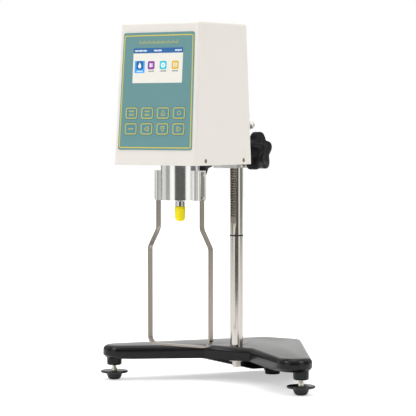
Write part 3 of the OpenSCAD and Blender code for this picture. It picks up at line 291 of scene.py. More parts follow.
def marks_group():
    """Roughness that varies softly over a face, as handling and wiping leave it."""
    name = "Handling marks"
    if name in bpy.data.node_groups:
        return bpy.data.node_groups[name]
    inputs = [("Roughness", "NodeSocketFloat", 0.3), ("Amount", "NodeSocketFloat", 0.05)]
    tree, start, end = shader_group(name, inputs, "Roughness")
    place = add_node(tree, "ShaderNodeTexCoord")
    noise = add_node(tree, "ShaderNodeTexNoise", {"Scale": 28.0, "Detail": 5.0})
    middle = add_node(tree, "ShaderNodeMath", {1: 0.5}, operation="SUBTRACT")
    total = add_node(tree, "ShaderNodeMath", operation="MULTIPLY_ADD")
    join(
        tree,
        (place, "Object", noise, "Vector"),
        (noise, "Fac", middle, 0),
        (middle, "Value", total, 0),
        (start, "Amount", total, 1),
        (start, "Roughness", total, 2),
        (total, "Value", end, "Roughness"),
    )
    return tree


# ---------------------------------------------------------------- finishes
TURNED = (0.02, 0.02, 1.0)  # lines run round a standing axis
METAL = {"metallic": 1.0}
FILM = {"coat": 0.15, "marks": 0.05, "grain": (2100.0, 0.10, 0.03)}

# Each finish: its colour, or the name of a colour in the sidebar; its roughness; and its grain, or the lines
# of its machining, as scale, strength and depth in millimetres
FINISHES = {
    # Paint, film and ink
    "Base enamel": dict(
        base="enamel", rough=0.19, marks=0.06, specular=0.28, grain=(420.0, 0.12, 0.3), swell=0.6
    ),
    "Cover paint": dict(base="cover", rough=0.34, grain=(1700.0, 0.08, 0.06)),
    "Block coat": dict(base="block", rough=0.42, grain=(1900.0, 0.10, 0.06)),
    "Motor coat": dict(base=(0.03, 0.03, 0.033), rough=0.36, grain=(1500.0, 0.10, 0.05)),
    "Disc black": dict(
        base=(0.02, 0.02, 0.023), rough=0.34, lines=(1500.0, 0.06, 0.02), along=(1.0, 1.0, 0.1)
    ),
    "Panel film": dict(base="film", rough=0.30, **FILM),
    "Key film": dict(base="key_film", rough=0.28, **FILM),
    "Panel ink": dict(base="ink", rough=0.34, grain=(2100.0, 0.05, 0.02)),
    "Solder mask": dict(base=(0.012, 0.10, 0.035), rough=0.28, coat=0.3, grain=(1200.0, 0.06, 0.03)),
    # Plastic and rubber
    "Black rubber": dict(base=(0.012, 0.012, 0.012), rough=0.62, grain=(1400.0, 0.15, 0.06)),
    "Black plastic": dict(base=(0.014, 0.014, 0.0145), rough=0.30, grain=(1300.0, 0.12, 0.05)),
    "Foot plastic": dict(base=(0.013, 0.013, 0.0135), rough=0.26, grain=(1100.0, 0.10, 0.05)),
    "Knob plastic": dict(base="knob", rough=0.34, specular=0.14, grain=(800.0, 0.05, 0.05)),
    "Sensor plastic": dict(base=(0.015, 0.015, 0.018), rough=0.42, grain=(1500.0, 0.10, 0.04)),
    "Inlet plastic": dict(base=(0.012, 0.012, 0.012), rough=0.40, grain=(1500.0, 0.12, 0.05)),
    "Rocker plastic": dict(base=(0.014, 0.014, 0.014), rough=0.22, grain=(1300.0, 0.05, 0.03)),
    "Cap rubber": dict(base="cap", rough=0.45, specular=0.3, grain=(1200.0, 0.08, 0.05)),
    "Level ring": dict(base=(0.88, 0.88, 0.87), rough=0.2, grain=(1500.0, 0.03, 0.02)),
    "Level fluid": dict(
        base=(0.32, 0.62, 0.10), rough=0.05, coat=0.6, marks=0.01, grain=(300.0, 0.02, 0.02)
    ),
    # Metal with a grain
    "Zinc plate": dict(base=(0.74, 0.69, 0.63), rough=0.38, grain=(1600.0, 0.06, 0.03), **METAL),
    "Cover screw": dict(base=(0.30, 0.22, 0.13), rough=0.34, grain=(2000.0, 0.08, 0.03), **METAL),
    "Chassis aluminium": dict(base=(0.55, 0.56, 0.57), rough=0.42, grain=(1900.0, 0.12, 0.04), **METAL),
    "Spring steel": dict(base=(0.20, 0.24, 0.34), rough=0.24, grain=(1800.0, 0.05, 0.02), **METAL),
    "Key domes": dict(base=(0.62, 0.62, 0.60), rough=0.20, grain=(1500.0, 0.04, 0.02), **METAL),
    "Port shell": dict(base=(0.55, 0.54, 0.52), rough=0.25, grain=(1700.0, 0.06, 0.02), **METAL),
    # Metal with the lines of its machining
    "Column steel": dict(
        base="steel", rough=0.13, lines=(1400.0, 0.10, 0.02), along=(1.0, 1.0, 0.01), **METAL
    ),
    "Shaft steel": dict(base="steel", rough=0.2, lines=(2200.0, 0.08, 0.02), **METAL),
    "Screw steel": dict(
        base=(0.70, 0.67, 0.62), rough=0.30, lines=(1500.0, 0.08, 0.02), along=(1.0, 1.0, 0.05),
        **METAL,
    ),
    "Bearing steel": dict(base=(0.52, 0.52, 0.52), rough=0.18, lines=(2200.0, 0.06, 0.02), **METAL),
    "Side plate": dict(base=(0.70, 0.69, 0.67), rough=0.30, lines=(1500.0, 0.10, 0.02), **METAL),
    "Brass": dict(base=(0.68, 0.48, 0.18), rough=0.26, lines=(1800.0, 0.08, 0.02), **METAL),
    "Polished housing": dict(
        base=(0.84, 0.835, 0.825), rough=0.15, marks=0.03, lines=(2400.0, 0.03, 0.01), **METAL
    ),
    "Guard bars": dict(
        base=(0.88, 0.87, 0.85), rough=0.12, lines=(330.0, 0.7, 0.9), along=(1.0, 1.0, 0.002),
        **METAL,
    ),
    "Guard strip": dict(
        base=(0.352, 0.311, 0.275), rough=0.22, lines=(1600.0, 0.12, 0.02), along=(0.02, 1.0, 0.02),
        **METAL,
    ),
    "Nut chrome": dict(base=(0.80, 0.79, 0.77), rough=0.10, lines=(2400.0, 0.05, 0.01), **METAL),
}

# What the display shows: each tint in display values from 0 to 255, and how strongly it glows
DISPLAY_TINTS = {
    "Display white": ((232, 230, 221), 0.12),
    "Display bar": ((36, 98, 158), 0.15),
    "Display mark": ((232, 240, 246), 0.3),
    "Display highlight": ((58, 156, 236), 0.25),
    "Display tile blue": ((28, 94, 150), 0.15),
    "Display tile violet": ((138, 60, 152), 0.2),
    "Display tile cyan": ((34, 186, 200), 0.25),
    "Display tile amber": ((218, 178, 10), 0.16),
    "Display small marks": ((86, 88, 88), 0.1),
}
for finish_name, (tint, strength) in DISPLAY_TINTS.items():
    FINISHES[finish_name] = dict(
        base=shade(*tint), rough=0.30, coat=0.25, marks=0.02, grain=(2600.0, 0.03, 0.02),
        glow=strength,
    )


def make_finish(
    name, base, rough, grain=None, swell=0.3, lines=None, along=TURNED,
    metallic=0.0, coat=0.0, marks=0.04, specular=None, glow=0.0,
):
    """A material with handling marks in its roughness and a grain or lines in its relief."""
    if isinstance(base, str):
        base = tuple(getattr(colours(), base))
    mat = bpy.data.materials.new(name)
    mat.use_nodes = True
    mat.diffuse_color = (*base, 1.0)
    tree = mat.node_tree
    shader = tree.nodes["Principled BSDF"]
    sockets = {
        "Base Color": (*base, 1.0),
        "Metallic": metallic,
        "Coat Weight": coat,
        "Coat Roughness": 0.05,
        "IOR": 1.5,
    }
    if specular is not None:
        sockets["Specular IOR Level"] = specular
    if glow:
        sockets["Emission Color"] = (*base, 1.0)
        sockets["Emission Strength"] = glow
    for label, value in sockets.items():
        shader.inputs[label].default_value = value
    wear = add_node(tree, "ShaderNodeGroup", {"Roughness": rough, "Amount": marks}, node_tree=marks_group())
    scale, strength, depth = lines or grain
    if lines:
        values, group = {"Stretch": along, "Scale": scale}, lines_group()
    else:
        values, group = {"Scale": scale, "Swell": swell}, grain_group()
    height = add_node(tree, "ShaderNodeGroup", values, node_tree=group)
    bump = add_node(tree, "ShaderNodeBump", {"Strength": strength, "Distance": depth * MM})
    join(
        tree,
        (wear, "Roughness", shader, "Roughness"),
        (height, "Height", bump, "Height"),
        (bump, "Normal", shader, "Normal"),
    )
    return mat


def darken_rack_slot(mat):
    """Darkens and roughens the column's steel inside its ground skin, where the rack slot is cut."""
    tree = mat.node_tree
    shader = tree.nodes["Principled BSDF"]
    low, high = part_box("column")
    radius = (high[0] - low[0]) / 2
    axis = ((low[0] + high[0]) / 2, (low[1] + high[1]) / 2, 0.0)
    skin_reach = {"From Min": radius - 0.45 * MM, "From Max": radius - 0.15 * MM}
    tints = {"A": (0.34, 0.30, 0.26, 1.0), "B": (*colours().steel, 1.0)}
    place = add_node(tree, "ShaderNodeTexCoord")
    offset = add_node(tree, "ShaderNodeVectorMath", {1: axis}, operation="SUBTRACT")
    across = add_node(tree, "ShaderNodeVectorMath", {1: (1.0, 1.0, 0.0)}, operation="MULTIPLY")
    reach = add_node(tree, "ShaderNodeVectorMath", operation="LENGTH")
    skin = add_node(tree, "ShaderNodeMapRange", skin_reach)
    tint = add_node(tree, "ShaderNodeMix", tints, data_type="RGBA")
    rough = add_node(tree, "ShaderNodeMix", {"A": 0.5})
    tree.links.new(shader.inputs["Roughness"].links[0].from_socket, rough.inputs["B"])
    join(
        tree,
        (place, "Object", offset, 0),
        (offset, "Vector", across, 0),
        (across, "Vector", reach, 0),
        (reach, "Value", skin, "Value"),
        (skin, "Result", tint, "Factor"),
        (skin, "Result", rough, "Factor"),
        (tint, "Result", shader, "Base Color"),
        (rough, "Result", shader, "Roughness"),
    )


built = {}


def finish_of(name):
    """The material of a finish, built once."""
    if name not in built:
        built[name] = make_finish(name, **FINISHES[name])
        if name == "Column steel":
            # the steel inside the rack slot is drawn darker, brown-grey and rougher
            darken_rack_slot(built[name])
    return built[name]


# ---------------------------------------------------------------- meshes from CAD nodes
def dress(node, finish):
    """Gives a CAD node its finish and leaves its shape alone."""
    obj = frame["nodes"][node]
    obj.data.materials.clear()
    obj.data.materials.append(finish_of(finish))


def refine(node, finish, edge=0.0, steps=2, angle=35.0):
    """A smooth-shaded copy with broken edges stands for a CAD node. Edge is in millimetres."""
    source = frame["nodes"][node]
    mesh = source.data.copy()
    work = bmesh.new()
    work.from_mesh(mesh)
    bmesh.ops.remove_doubles(work, verts=work.verts, dist=MERGE_REACH)
    bmesh.ops.dissolve_limit(work, angle_limit=math.radians(FLAT_ANGLE), verts=work.verts, edges=work.edges)
    work.to_mesh(mesh)
    work.free()
    mesh.materials.clear()
    mesh.materials.append(finish_of(finish))
    mesh.shade_smooth()
    mesh.set_sharp_from_angle(angle=math.radians(angle))
    obj = bpy.data.objects.new(node + "_finish", mesh)
    bpy.context.scene.collection.objects.link(obj)
    if edge:
        bevel = obj.modifiers.new("Broken edges", "BEVEL")
        bevel.width = edge * MM
        bevel.segments = steps
        bevel.limit_method = "ANGLE"
        bevel.angle_limit = math.radians(angle)
        bevel.harden_normals = True
    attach(obj, source["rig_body"])
    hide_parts(node)


# ---------------------------------------------------------------- panel plane and flat prints
def front_frame(node):
    """Matrix of a front face: X across, Y up the slope, Z outwards, origin at its lower middle."""
    mesh = frame["nodes"][node].data
    faces = [p for p in mesh.polygons if p.normal.y < FRONT_FACING]
    outward = sum((p.normal * p.area for p in faces), Vector()).normalized()
    outward.x = 0.0
    outward.normalize()
    up = outward.cross(Vector((1.0, 0.0, 0.0)))
    corners = [mesh.vertices[i].co for p in faces for i in p.vertices]
    low = min(c.dot(up) for c in corners)
    face = max(c.dot(outward) for c in corners)
    middle = (min(c.x for c in corners) + max(c.x for c in corners)) / 2
    origin = up * low + outward * face + Vector((middle, 0.0, 0.0))
    turn = Matrix((Vector((1.0, 0.0, 0.0)), up, outward)).transposed().to_4x4()
    return Matrix.Translation(origin) @ turn


def front_size(node):
    """Width and height of a node's front face, measured up the slope."""
    plane = front_frame(node).inverted()
    mesh = frame["nodes"][node].data
    points = [plane @ v.co for v in mesh.vertices]
    width = max(p.x for p in points) - min(p.x for p in points)
    height = max(p.y for p in points) - min(p.y for p in points)
    return width, height


def place_mesh(name, mesh, plane, finish, body):
    """Links a mesh made flat round the origin, set onto a plane, riding on a body."""
    mesh.transform(plane)
    mesh.update()
    if not mesh.materials:
        mesh.materials.append(finish_of(finish))
    obj = bpy.data.objects.new(name, mesh)
    bpy.context.scene.collection.objects.link(obj)
    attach(obj, body)


def flat_print(name, outlines, plane, finish, body, lift=PRINT_LIFT):
    """Closed outlines filled and raised by one ink layer."""
    work = bmesh.new()
    for outline in outlines:
        rims = [[work.verts.new((x, y, z)) for x, y in outline] for z in (lift, lift + INK_T)]
        work.faces.new(rims[1])
        work.faces.new(list(reversed(rims[0])))
        count = len(outline)
        for i in range(count):
            j = (i + 1) % count
            work.faces.new((rims[0][i], rims[0][j], rims[1][j], rims[1][i]))
    bmesh.ops.recalc_face_normals(work, faces=work.faces)
    mesh = bpy.data.meshes.new(name)
    work.to_mesh(mesh)
    work.free()
    place_mesh(name, mesh, plane, finish, body)


def block_outline(x, y, width, height):
    """A rectangle round its centre."""
    return [
        (x - width / 2, y - height / 2),
        (x + width / 2, y - height / 2),
        (x + width / 2, y + height / 2),
        (x - width / 2, y + height / 2),
    ]


def rounded_outline(x, y, width, height, corner, steps=5):
    """A rectangle round its centre with round corners."""
    outline = []
    for turn, (sx, sy) in enumerate(((1, 1), (-1, 1), (-1, -1), (1, -1))):
        for i in range(steps + 1):
            a = math.radians(90 * (turn + i / steps))
            across = x + sx * (width / 2 - corner) + corner * math.cos(a)
            outline.append((across, y + sy * (height / 2 - corner) + corner * math.sin(a)))
    return outline


def stroke_outlines(points, width, closed=False):
    """Straight strokes of one width along points, run a little past each end so that corners close."""
    outlines = []
    pairs = list(zip(points, points[1:]))
    if closed:
        pairs.append((points[-1], points[0]))
    for start, stop in pairs:
        start, stop = Vector(start), Vector(stop)
        along = (stop - start).normalized() * width / 2
        side = Vector((-along.y, along.x))
        a = start - along * STROKE_OVERRUN
        b = stop + along * STROKE_OVERRUN
        outlines.append([tuple(a - side), tuple(b - side), tuple(b + side), tuple(a + side)])
    return outlines


def ring_outlines(x, y, radius, width, steps=32):
    """A ring as a chain of short flat pieces."""
    outlines = []
    inner, outer = radius - width / 2, radius + width / 2
    for i in range(steps):
        a, b = 2 * math.pi * i / steps, 2 * math.pi * (i + 1) / steps
        outlines.append(
            [
                (x + inner * math.cos(a), y + inner * math.sin(a)),
                (x + outer * math.cos(a), y + outer * math.sin(a)),
                (x + outer * math.cos(b), y + outer * math.sin(b)),
                (x + inner * math.cos(b), y + inner * math.sin(b)),
            ]
        )
    return outlines


# ---------------------------------------------------------------- geometry node trees
def geometry_tree(name, inputs):
    """A new geometry tree with the given inputs and a material, and the nodes at its two ends."""
    tree = bpy.data.node_groups.new(name, "GeometryNodeTree")
    tree.interface.new_socket("Geometry", in_out="OUTPUT", socket_type="NodeSocketGeometry")
    for label, kind, default in inputs:
        tree.interface.new_socket(label, in_out="INPUT", socket_type=kind).default_value = default
    tree.interface.new_socket("Material", in_out="INPUT", socket_type="NodeSocketMaterial")
    return tree, tree.nodes.new("NodeGroupInput"), tree.nodes.new("NodeGroupOutput")


def end_tree(tree, start, end, geometry):
    """Realizes what the tree has made, sets its material and leads it out."""
    real = add_node(tree, "GeometryNodeRealizeInstances")
    painted = add_node(tree, "GeometryNodeSetMaterial")
    tree.links.new(geometry, real.inputs["Geometry"])
    join(
        tree,
        (real, "Geometry", painted, "Geometry"),
        (start, "Material", painted, "Material"),
        (painted, "Geometry", end, "Geometry"),
    )


def outline_tree():
    """A raised line round a rectangle or a trapezium with round corners."""
    name = "Printed outline"
    if name in bpy.data.node_groups:
        return bpy.data.node_groups[name]
    sizes = {"Width": 16.0, "Top width": 16.0, "Height": 13.0, "Corner": 3.0, "Line": 1.0, "Thickness": 0.04}
    inputs = [(label, "NodeSocketFloat", value * MM) for label, value in sizes.items()]
    tree, start, end = geometry_tree(name, inputs)
    shape = add_node(tree, "GeometryNodeCurvePrimitiveQuadrilateral", {"Offset": 0.0}, mode="TRAPEZOID")
    fillet = add_node(tree, "GeometryNodeFilletCurve", {"Count": 8}, mode="POLY")
    level = add_node(tree, "GeometryNodeSetCurveNormal", mode="Z_UP")
    profile = add_node(tree, "GeometryNodeCurvePrimitiveQuadrilateral")
    sweep = add_node(tree, "GeometryNodeCurveToMesh")
    flat = add_node(tree, "GeometryNodeSetShadeSmooth", {"Shade Smooth": False})
    join(
        tree,
        (start, "Width", shape, "Bottom Width"),
        (start, "Top width", shape, "Top Width"),
        (start, "Height", shape, "Height"),
        (shape, "Curve", fillet, "Curve"),
        (start, "Corner", fillet, "Radius"),
        (fillet, "Curve", level, "Curve"),
        (start, "Line", profile, "Width"),
        (start, "Thickness", profile, "Height"),
        (level, "Curve", sweep, "Curve"),
        (profile, "Curve", sweep, "Profile Curve"),
        (sweep, "Mesh", flat, "Geometry"),
    )
    end_tree(tree, start, end, flat.outputs["Geometry"])
    return tree


def scale_tree():
    """A row of upright marks on one base line, every so many of them longer."""
    name = "Mark row"
    if name in bpy.data.node_groups:
        return bpy.data.node_groups[name]
    counts = {"Count": 41, "Long every": 5}
    sizes = {"Pitch": 1.3, "Mark width": 0.35, "Short": 2.2, "Long": 4.2, "Thickness": 0.04}
    inputs = [(label, "NodeSocketInt", value) for label, value in counts.items()]
    inputs += [(label, "NodeSocketFloat", value * MM) for label, value in sizes.items()]
    tree, start, end = geometry_tree(name, inputs)
    step = add_node(tree, "ShaderNodeCombineXYZ")
    row = add_node(tree, "GeometryNodeMeshLine")
    index = add_node(tree, "GeometryNodeInputIndex")
    rest = add_node(tree, "FunctionNodeIntegerMath", operation="MODULO")
    first = add_node(tree, "FunctionNodeCompare", data_type="INT", operation="EQUAL")
    pick = add_node(tree, "GeometryNodeSwitch", input_type="FLOAT")
    half = add_node(tree, "ShaderNodeMath", {1: 0.5}, operation="MULTIPLY")
    rise = add_node(tree, "ShaderNodeCombineXYZ")
    stand = add_node(tree, "GeometryNodeSetPosition")
    mark_size = add_node(tree, "ShaderNodeCombineXYZ", {"Y": 1.0})
    mark = add_node(tree, "GeometryNodeMeshCube")
    tall = add_node(tree, "ShaderNodeCombineXYZ", {"X": 1.0, "Z": 1.0})
    spread = add_node(tree, "GeometryNodeInstanceOnPoints")
    join(
        tree,
        (start, "Pitch", step, "X"),
        (start, "Count", row, "Count"),
        (step, "Vector", row, "Offset"),
        (index, "Index", rest, 0),
        (start, "Long every", rest, 1),
        (rest, "Value", first, "A"),
        (first, "Result", pick, "Switch"),
        (start, "Short", pick, "False"),
        (start, "Long", pick, "True"),
        (pick, "Output", half, 0),
        (half, "Value", rise, "Y"),
        (row, "Mesh", stand, "Geometry"),
        (rise, "Vector", stand, "Offset"),
        (start, "Mark width", mark_size, "X"),
        (start, "Thickness", mark_size, "Z"),
        (mark_size, "Vector", mark, "Size"),
        (pick, "Output", tall, "Y"),
        (stand, "Geometry", spread, "Points"),
        (mark, "Mesh", spread, "Instance"),
        (tall, "Vector", spread, "Scale"),
    )
    end_tree(tree, start, end, spread.outputs["Instances"])
    return tree


def grow(name, tree, values, finish, plane, body):
    """Makes a geometry tree's mesh from the named values and sets it onto a plane."""
    seed = bpy.data.objects.new(name + "_seed", bpy.data.meshes.new(name + "_seed"))
    bpy.context.scene.collection.objects.link(seed)
    modifier = seed.modifiers.new("Pattern", "NODES")
    modifier.node_group = tree
    sockets = {i.name: i.identifier for i in tree.interface.items_tree if i.in_out == "INPUT"}
    for label, value in values.items():
        modifier[sockets[label]] = value
    modifier[sockets["Material"]] = finish_of(finish)
    graph = bpy.context.evaluated_depsgraph_get()
    mesh = bpy.data.meshes.new_from_object(seed.evaluated_get(graph))
    seed.modifiers.remove(modifier)
    bpy.data.objects.remove(seed)
    if not mesh.vertices:
        raise RuntimeError(name + " came out empty")
    mesh.name = name
    place_mesh(name, mesh, plane, finish, body)


# ---------------------------------------------------------------- operators
class VISC_OT_base(bpy.types.Operator):
    """Enamelled casting with softly rounded lower edges."""

    bl_idname = "viscometer.base"
    bl_label = "Base"

    def execute(self, context):
        refine("base_casting", "Base enamel", edge=1.2, steps=3, angle=38.0)
        refine("column_bolt", "Zinc plate", edge=0.4)
        refine("rear_foot", "Black rubber", edge=0.3)
        return {"FINISHED"}


class VISC_OT_feet(bpy.types.Operator):
    """Levelling feet: moulded finger discs on plated screws."""

    bl_idname = "viscometer.feet"
    bl_label = "Levelling feet"

    def execute(self, context):
        for side in ("left", "right"):
            refine("foot_disc_" + side, "Foot plastic")
            refine("foot_stud_" + side, "Zinc plate")
        return {"FINISHED"}


class VISC_OT_column(bpy.types.Operator):
    """Ground column with its rack, stop ring and cap."""

    bl_idname = "viscometer.column"
    bl_label = "Column"

    def execute(self, context):
        refine("column", "Column steel")
        refine("stop_ring", "Black rubber")
        refine("column_cap", "Black plastic", edge=0.4)
        return {"FINISHED"}


class VISC_OT_carriage(bpy.types.Operator):
    """Sliding block with its side plate, screws, bushes and pads."""

    bl_idname = "viscometer.carriage"
    bl_label = "Carriage"

    def execute(self, context):
        refine("carriage_block", "Block coat", edge=0.5)
        refine("side_plate", "Side plate", edge=0.5)
        refine("socket_screws", "Screw steel")
        refine("friction_screw", "Zinc plate")
        refine("pinion_bushes", "Brass")
        refine("brake_pads", "Brass")
        return {"FINISHED"}


class VISC_OT_knobs(bpy.types.Operator):
    """Star knobs and the shafts they turn."""

    bl_idname = "viscometer.knobs"
    bl_label = "Knobs"

    def execute(self, context):
        for knob in ("lift_knob", "lock_knob"):
            refine(knob, "Knob plastic", angle=50.0)
        for shaft in ("pinion_shaft", "lock_stud"):
            refine(shaft, "Shaft steel")
        return {"FINISHED"}


class VISC_OT_cover(bpy.types.Operator):
    """Painted cover with its screws and the round level on top."""

    bl_idname = "viscometer.cover"
    bl_label = "Cover"

    def execute(self, context):
        refine("head_cover", "Cover paint", edge=0.3)
        refine("cover_screws", "Cover screw")
        refine("level_ring", "Level ring", edge=0.3)
        refine("level_vial", "Level fluid", edge=0.3)
        return {"FINISHED"}


class VISC_OT_panel(bpy.types.Operator):
    """Printed film with its border line and the row of scale marks."""

    bl_idname = "viscometer.panel"
    bl_label = "Panel film"

    def execute(self, context):
        settings = panel_print()
        refine("panel_overlay", "Panel film")
        plane = front_frame("panel_overlay")
        width, height = front_size("panel_overlay")
        mesh = frame["nodes"]["panel_overlay"].data
        inverse = plane.inverted()
        points = [inverse @ v.co for v in mesh.vertices]
        top_band = 4 * MM  # the film's upper corners lie in it
        top_width = 2 * max(p.x for p in points if p.y > height - top_band)
        line = settings.border_line
        inner_h = height - settings.border_low - settings.border_top - line
        border = {
            "Width": width - 2 * settings.border_side - line,
            "Top width": top_width - 2 * settings.border_side - line,
            "Height": inner_h,
            "Corner": settings.border_corner,
            "Line": line,
            "Thickness": INK_T,
        }
        middle = Vector((0.0, settings.border_low + line / 2 + inner_h / 2, INK_MIDDLE))
        grow("panel_border", outline_tree(), border, "Panel ink", plane @ Matrix.Translation(middle), "head")
        row = {
            "Count": settings.mark_count,
            "Pitch": settings.mark_pitch,
            "Long every": settings.long_every,
            "Mark width": settings.mark_width,
            "Short": settings.mark_short,
            "Long": settings.mark_long,
            "Thickness": INK_T,
        }
        left = -settings.mark_pitch * (settings.mark_count - 1) / 2
        corner = Vector((left, height - settings.marks_drop, INK_MIDDLE))
        grow("panel_scale", scale_tree(), row, "Panel ink", plane @ Matrix.Translation(corner), "head")
        return {"FINISHED"}


class VISC_OT_display(bpy.types.Operator):
    """Lit colour display: a title bar, four tiles with plain signs, and small marks below."""

    bl_idname = "viscometer.display"
    bl_label = "Display"

    def execute(self, context):
        refine("display_window", "Display white")
        plane = front_frame("display_window")
        width, height = front_size("display_window")

        def patch(name, outlines, finish, layer=0):
            """Outlines in millimetres as one print on the window, over the layers below it."""
            shifted = [[(x * MM, y * MM) for x, y in outline] for outline in outlines]
            lift = PRINT_LIFT * (1 + LAYER_STEP * layer)
            flat_print("display_" + name, shifted, plane, finish, "head", lift)

        def dashes(x, y, count, pitch, tall):
            """A row of short dashes from x on, standing in for a line of writing."""
            rises = [tall if i % 3 else tall * LOW_DASH for i in range(count)]
            return [block_outline(x + pitch * i, y, pitch * DASH_SHARE, rise) for i, rise in enumerate(rises)]

        # Millimetres on the window from the middle of its lower edge
        high, wide = height / MM, width / MM
        bar_h, bar_text = 6.0, high - 3.1
        row_y, tile, tile_corner = 20.6, 9.7, 1.9
        highlight_y, highlight = 18.9, 14.2
        caption_y, caption_reach = 13.7, 3.7
        page_side = tile - 4.2
        columns = {"drop": -25.3, "chart": -9.1, "dial": 7.8, "page": 24.6}
        patch("bar", [block_outline(0.0, high - bar_h / 2, wide, bar_h)], "Display bar")
        marks = dashes(-32.2, bar_text, 10, 1.75, 2.0) + dashes(-5.2, bar_text, 7, 1.6, 2.0)
        patch("bar_marks", marks + dashes(24.4, bar_text, 5, 1.9, 1.9), "Display mark", 1)
        outline = rounded_outline(columns["drop"], highlight_y, highlight, highlight, 0.6)
        patch("highlight", [outline], "Display highlight")
        tiles = {
            "drop": "Display tile blue",
            "chart": "Display tile violet",
            "dial": "Display tile cyan",
            "page": "Display tile amber",
        }
        for name, finish in tiles.items():
            picked = name == "drop"
            outline = rounded_outline(columns[name], row_y, tile, tile, tile_corner)
            patch("tile_" + name, [outline], finish, int(picked))
            caption = dashes(columns[name] - caption_reach, caption_y, 6, 1.5, 1.3)
            patch("caption_" + name, caption, "Display mark" if picked else "Display small marks", 1)
        x = columns["drop"]
        round_part = [math.radians(160 + 22 * i) for i in range(11)]
        drop = [(x, row_y + 3.6), (x - 1.9, row_y + 0.1)]
        drop += [(x + 2.1 * math.cos(a), row_y - 1.2 + 2.1 * math.sin(a)) for a in round_part]
        patch("sign_drop", [drop + [(x + 1.9, row_y + 0.1)]], "Display mark", 2)
        x = columns["chart"]
        chart = [block_outline(x, row_y + 1.5 * i, 4.6, 0.8) for i in (-1, 0, 1)]
        patch("sign_chart", chart + [block_outline(x - 1.2, row_y, 0.8, 4.6)], "Display mark", 1)
        patch("sign_dial", ring_outlines(columns["dial"], row_y, 2.0, 1.8), "Display mark", 1)
        page = rounded_outline(columns["page"], row_y, page_side, page_side, 0.7)
        patch("sign_page", [page], "Display white", 1)
        lines = [block_outline(columns["page"], row_y + 1.7 * i, 3.4 - 0.6 * i, 0.7) for i in (-1, 0, 1)]
        patch("sign_page_lines", lines, "Display tile amber", 2)
        return {"FINISHED"}


class VISC_OT_keys(bpy.types.Operator):
    """Eight raised film keys, each with its outline and a plain sign."""

    bl_idname = "viscometer.keys"
    bl_label = "Keys"

    def sign(self, kind, line):
        """Outlines of a key's sign round the key's middle, in metres."""
        if kind == "ring":
            return ring_outlines(0.0, 0.0, RING_RADIUS * MM, line)
        if kind in ("one bar", "two bars"):
            rows = (0.0,) if kind == "one bar" else (-DASH_ROW, DASH_ROW)
            places = [(x * DASH_PITCH * MM, y * MM) for y in rows for x in (-1.5, -0.5, 0.5, 1.5)]
            marks = [block_outline(*place, *DASH_SIZE) for place in places]
            return marks + [block_outline(0.0, 0.0, *DIVIDER_SIZE)] * (len(rows) - 1)
        rotate = Matrix.Rotation(math.radians(ARROW_TURNS[kind]), 2)
        triangle = [rotate @ (Vector(p) * MM) for p in ARROW_HEAD]
        bar = [rotate @ (Vector(p) * MM) for p in ARROW_BAR]
        return stroke_outlines(triangle, line, closed=True) + stroke_outlines(bar, line)

    def execute(self, context):
        settings = panel_print()
        for node, kind in KEY_SIGNS.items():
            refine(node, "Key film")
            plane = front_frame(node)
            width, height = front_size(node)
            line = settings.key_line
            inset = 2 * settings.key_inset + line
            values = {
                "Width": width - inset,
                "Top width": width - inset,
                "Height": height - inset,
                "Corner": settings.key_corner - line / 2,
                "Line": line,
                "Thickness": INK_T,
            }
            centre = plane @ Matrix.Translation(Vector((0.0, height / 2, 0.0)))
            raised = centre @ Matrix.Translation(Vector((0.0, 0.0, INK_MIDDLE)))
            grow(node + "_outline", outline_tree(), values, "Panel ink", raised, node)
            flat_print(node + "_sign", self.sign(kind, settings.sign_line), centre, "Panel ink", node)
        return {"FINISHED"}


class VISC_OT_spindle_end(bpy.types.Operator):
    """Polished housing, guard with its bars and screws, spindle, nut and soft cap."""

    bl_idname = "viscometer.spindle_end"
    bl_label = "Spindle end"

    def execute(self, context):
        refine("spindle_housing", "Polished housing", edge=0.5)
        refine("guard_bars", "Guard bars", edge=0.4)
        refine("guard_frame", "Guard strip", edge=0.35, angle=50.0)
        refine("guard_screws", "Screw steel")
        refine("spindle_shaft", "Shaft steel")
        refine("spindle_nut", "Nut chrome")
        refine("spindle_cap", "Cap rubber")
        return {"FINISHED"}


class VISC_OT_drive(bpy.types.Operator):
    """Chassis, motor and the parts that turn and read the spindle."""

    bl_idname = "viscometer.drive"
    bl_label = "Drive"

    def execute(self, context):
        for node in ("head_chassis", "bearing_bridge", "motor_plate"):
            refine(node, "Chassis aluminium", edge=0.3)
        refine("motor", "Motor coat", edge=0.4)
        refine("drive_posts", "Brass")
        refine("drive_shaft", "Shaft steel")
        refine("bearings", "Bearing steel")
        refine("hairspring", "Spring steel")
        refine("optical_sensors", "Sensor plastic", edge=0.2)
        for disc in ("encoder_disc", "sensing_disc"):
            refine(disc, "Disc black")
        return {"FINISHED"}


class VISC_OT_electronics(bpy.types.Operator):
    """Boards behind the panel with their posts and key domes."""

    bl_idname = "viscometer.electronics"
    bl_label = "Electronics"

    def execute(self, context):
        for node in ("display_module", "keypad_board", "main_board"):
            dress(node, "Solder mask")
        dress("key_domes", "Key domes")
        dress("board_posts", "Brass")
        return {"FINISHED"}


class VISC_OT_rear(bpy.types.Operator):
    """Mains inlet with its rocker, and the data port."""

    bl_idname = "viscometer.rear"
    bl_label = "Rear sockets"

    def execute(self, context):
        refine("power_inlet", "Inlet plastic", edge=0.2)
        refine("power_rocker", "Rocker plastic", edge=0.3)
        refine("data_port", "Port shell", edge=0.15)
        return {"FINISHED"}


def floor_mesh(front, back, side):
    """A flat floor, seen along +Y, that reaches so far from the middle."""
    mesh = bpy.data.meshes.new("studio_floor")
    corners = [(-side, -front, 0.0), (side, -front, 0.0), (side, back, 0.0), (-side, back, 0.0)]
    mesh.from_pydata(corners, [], [(0, 1, 2, 3)])
    return mesh


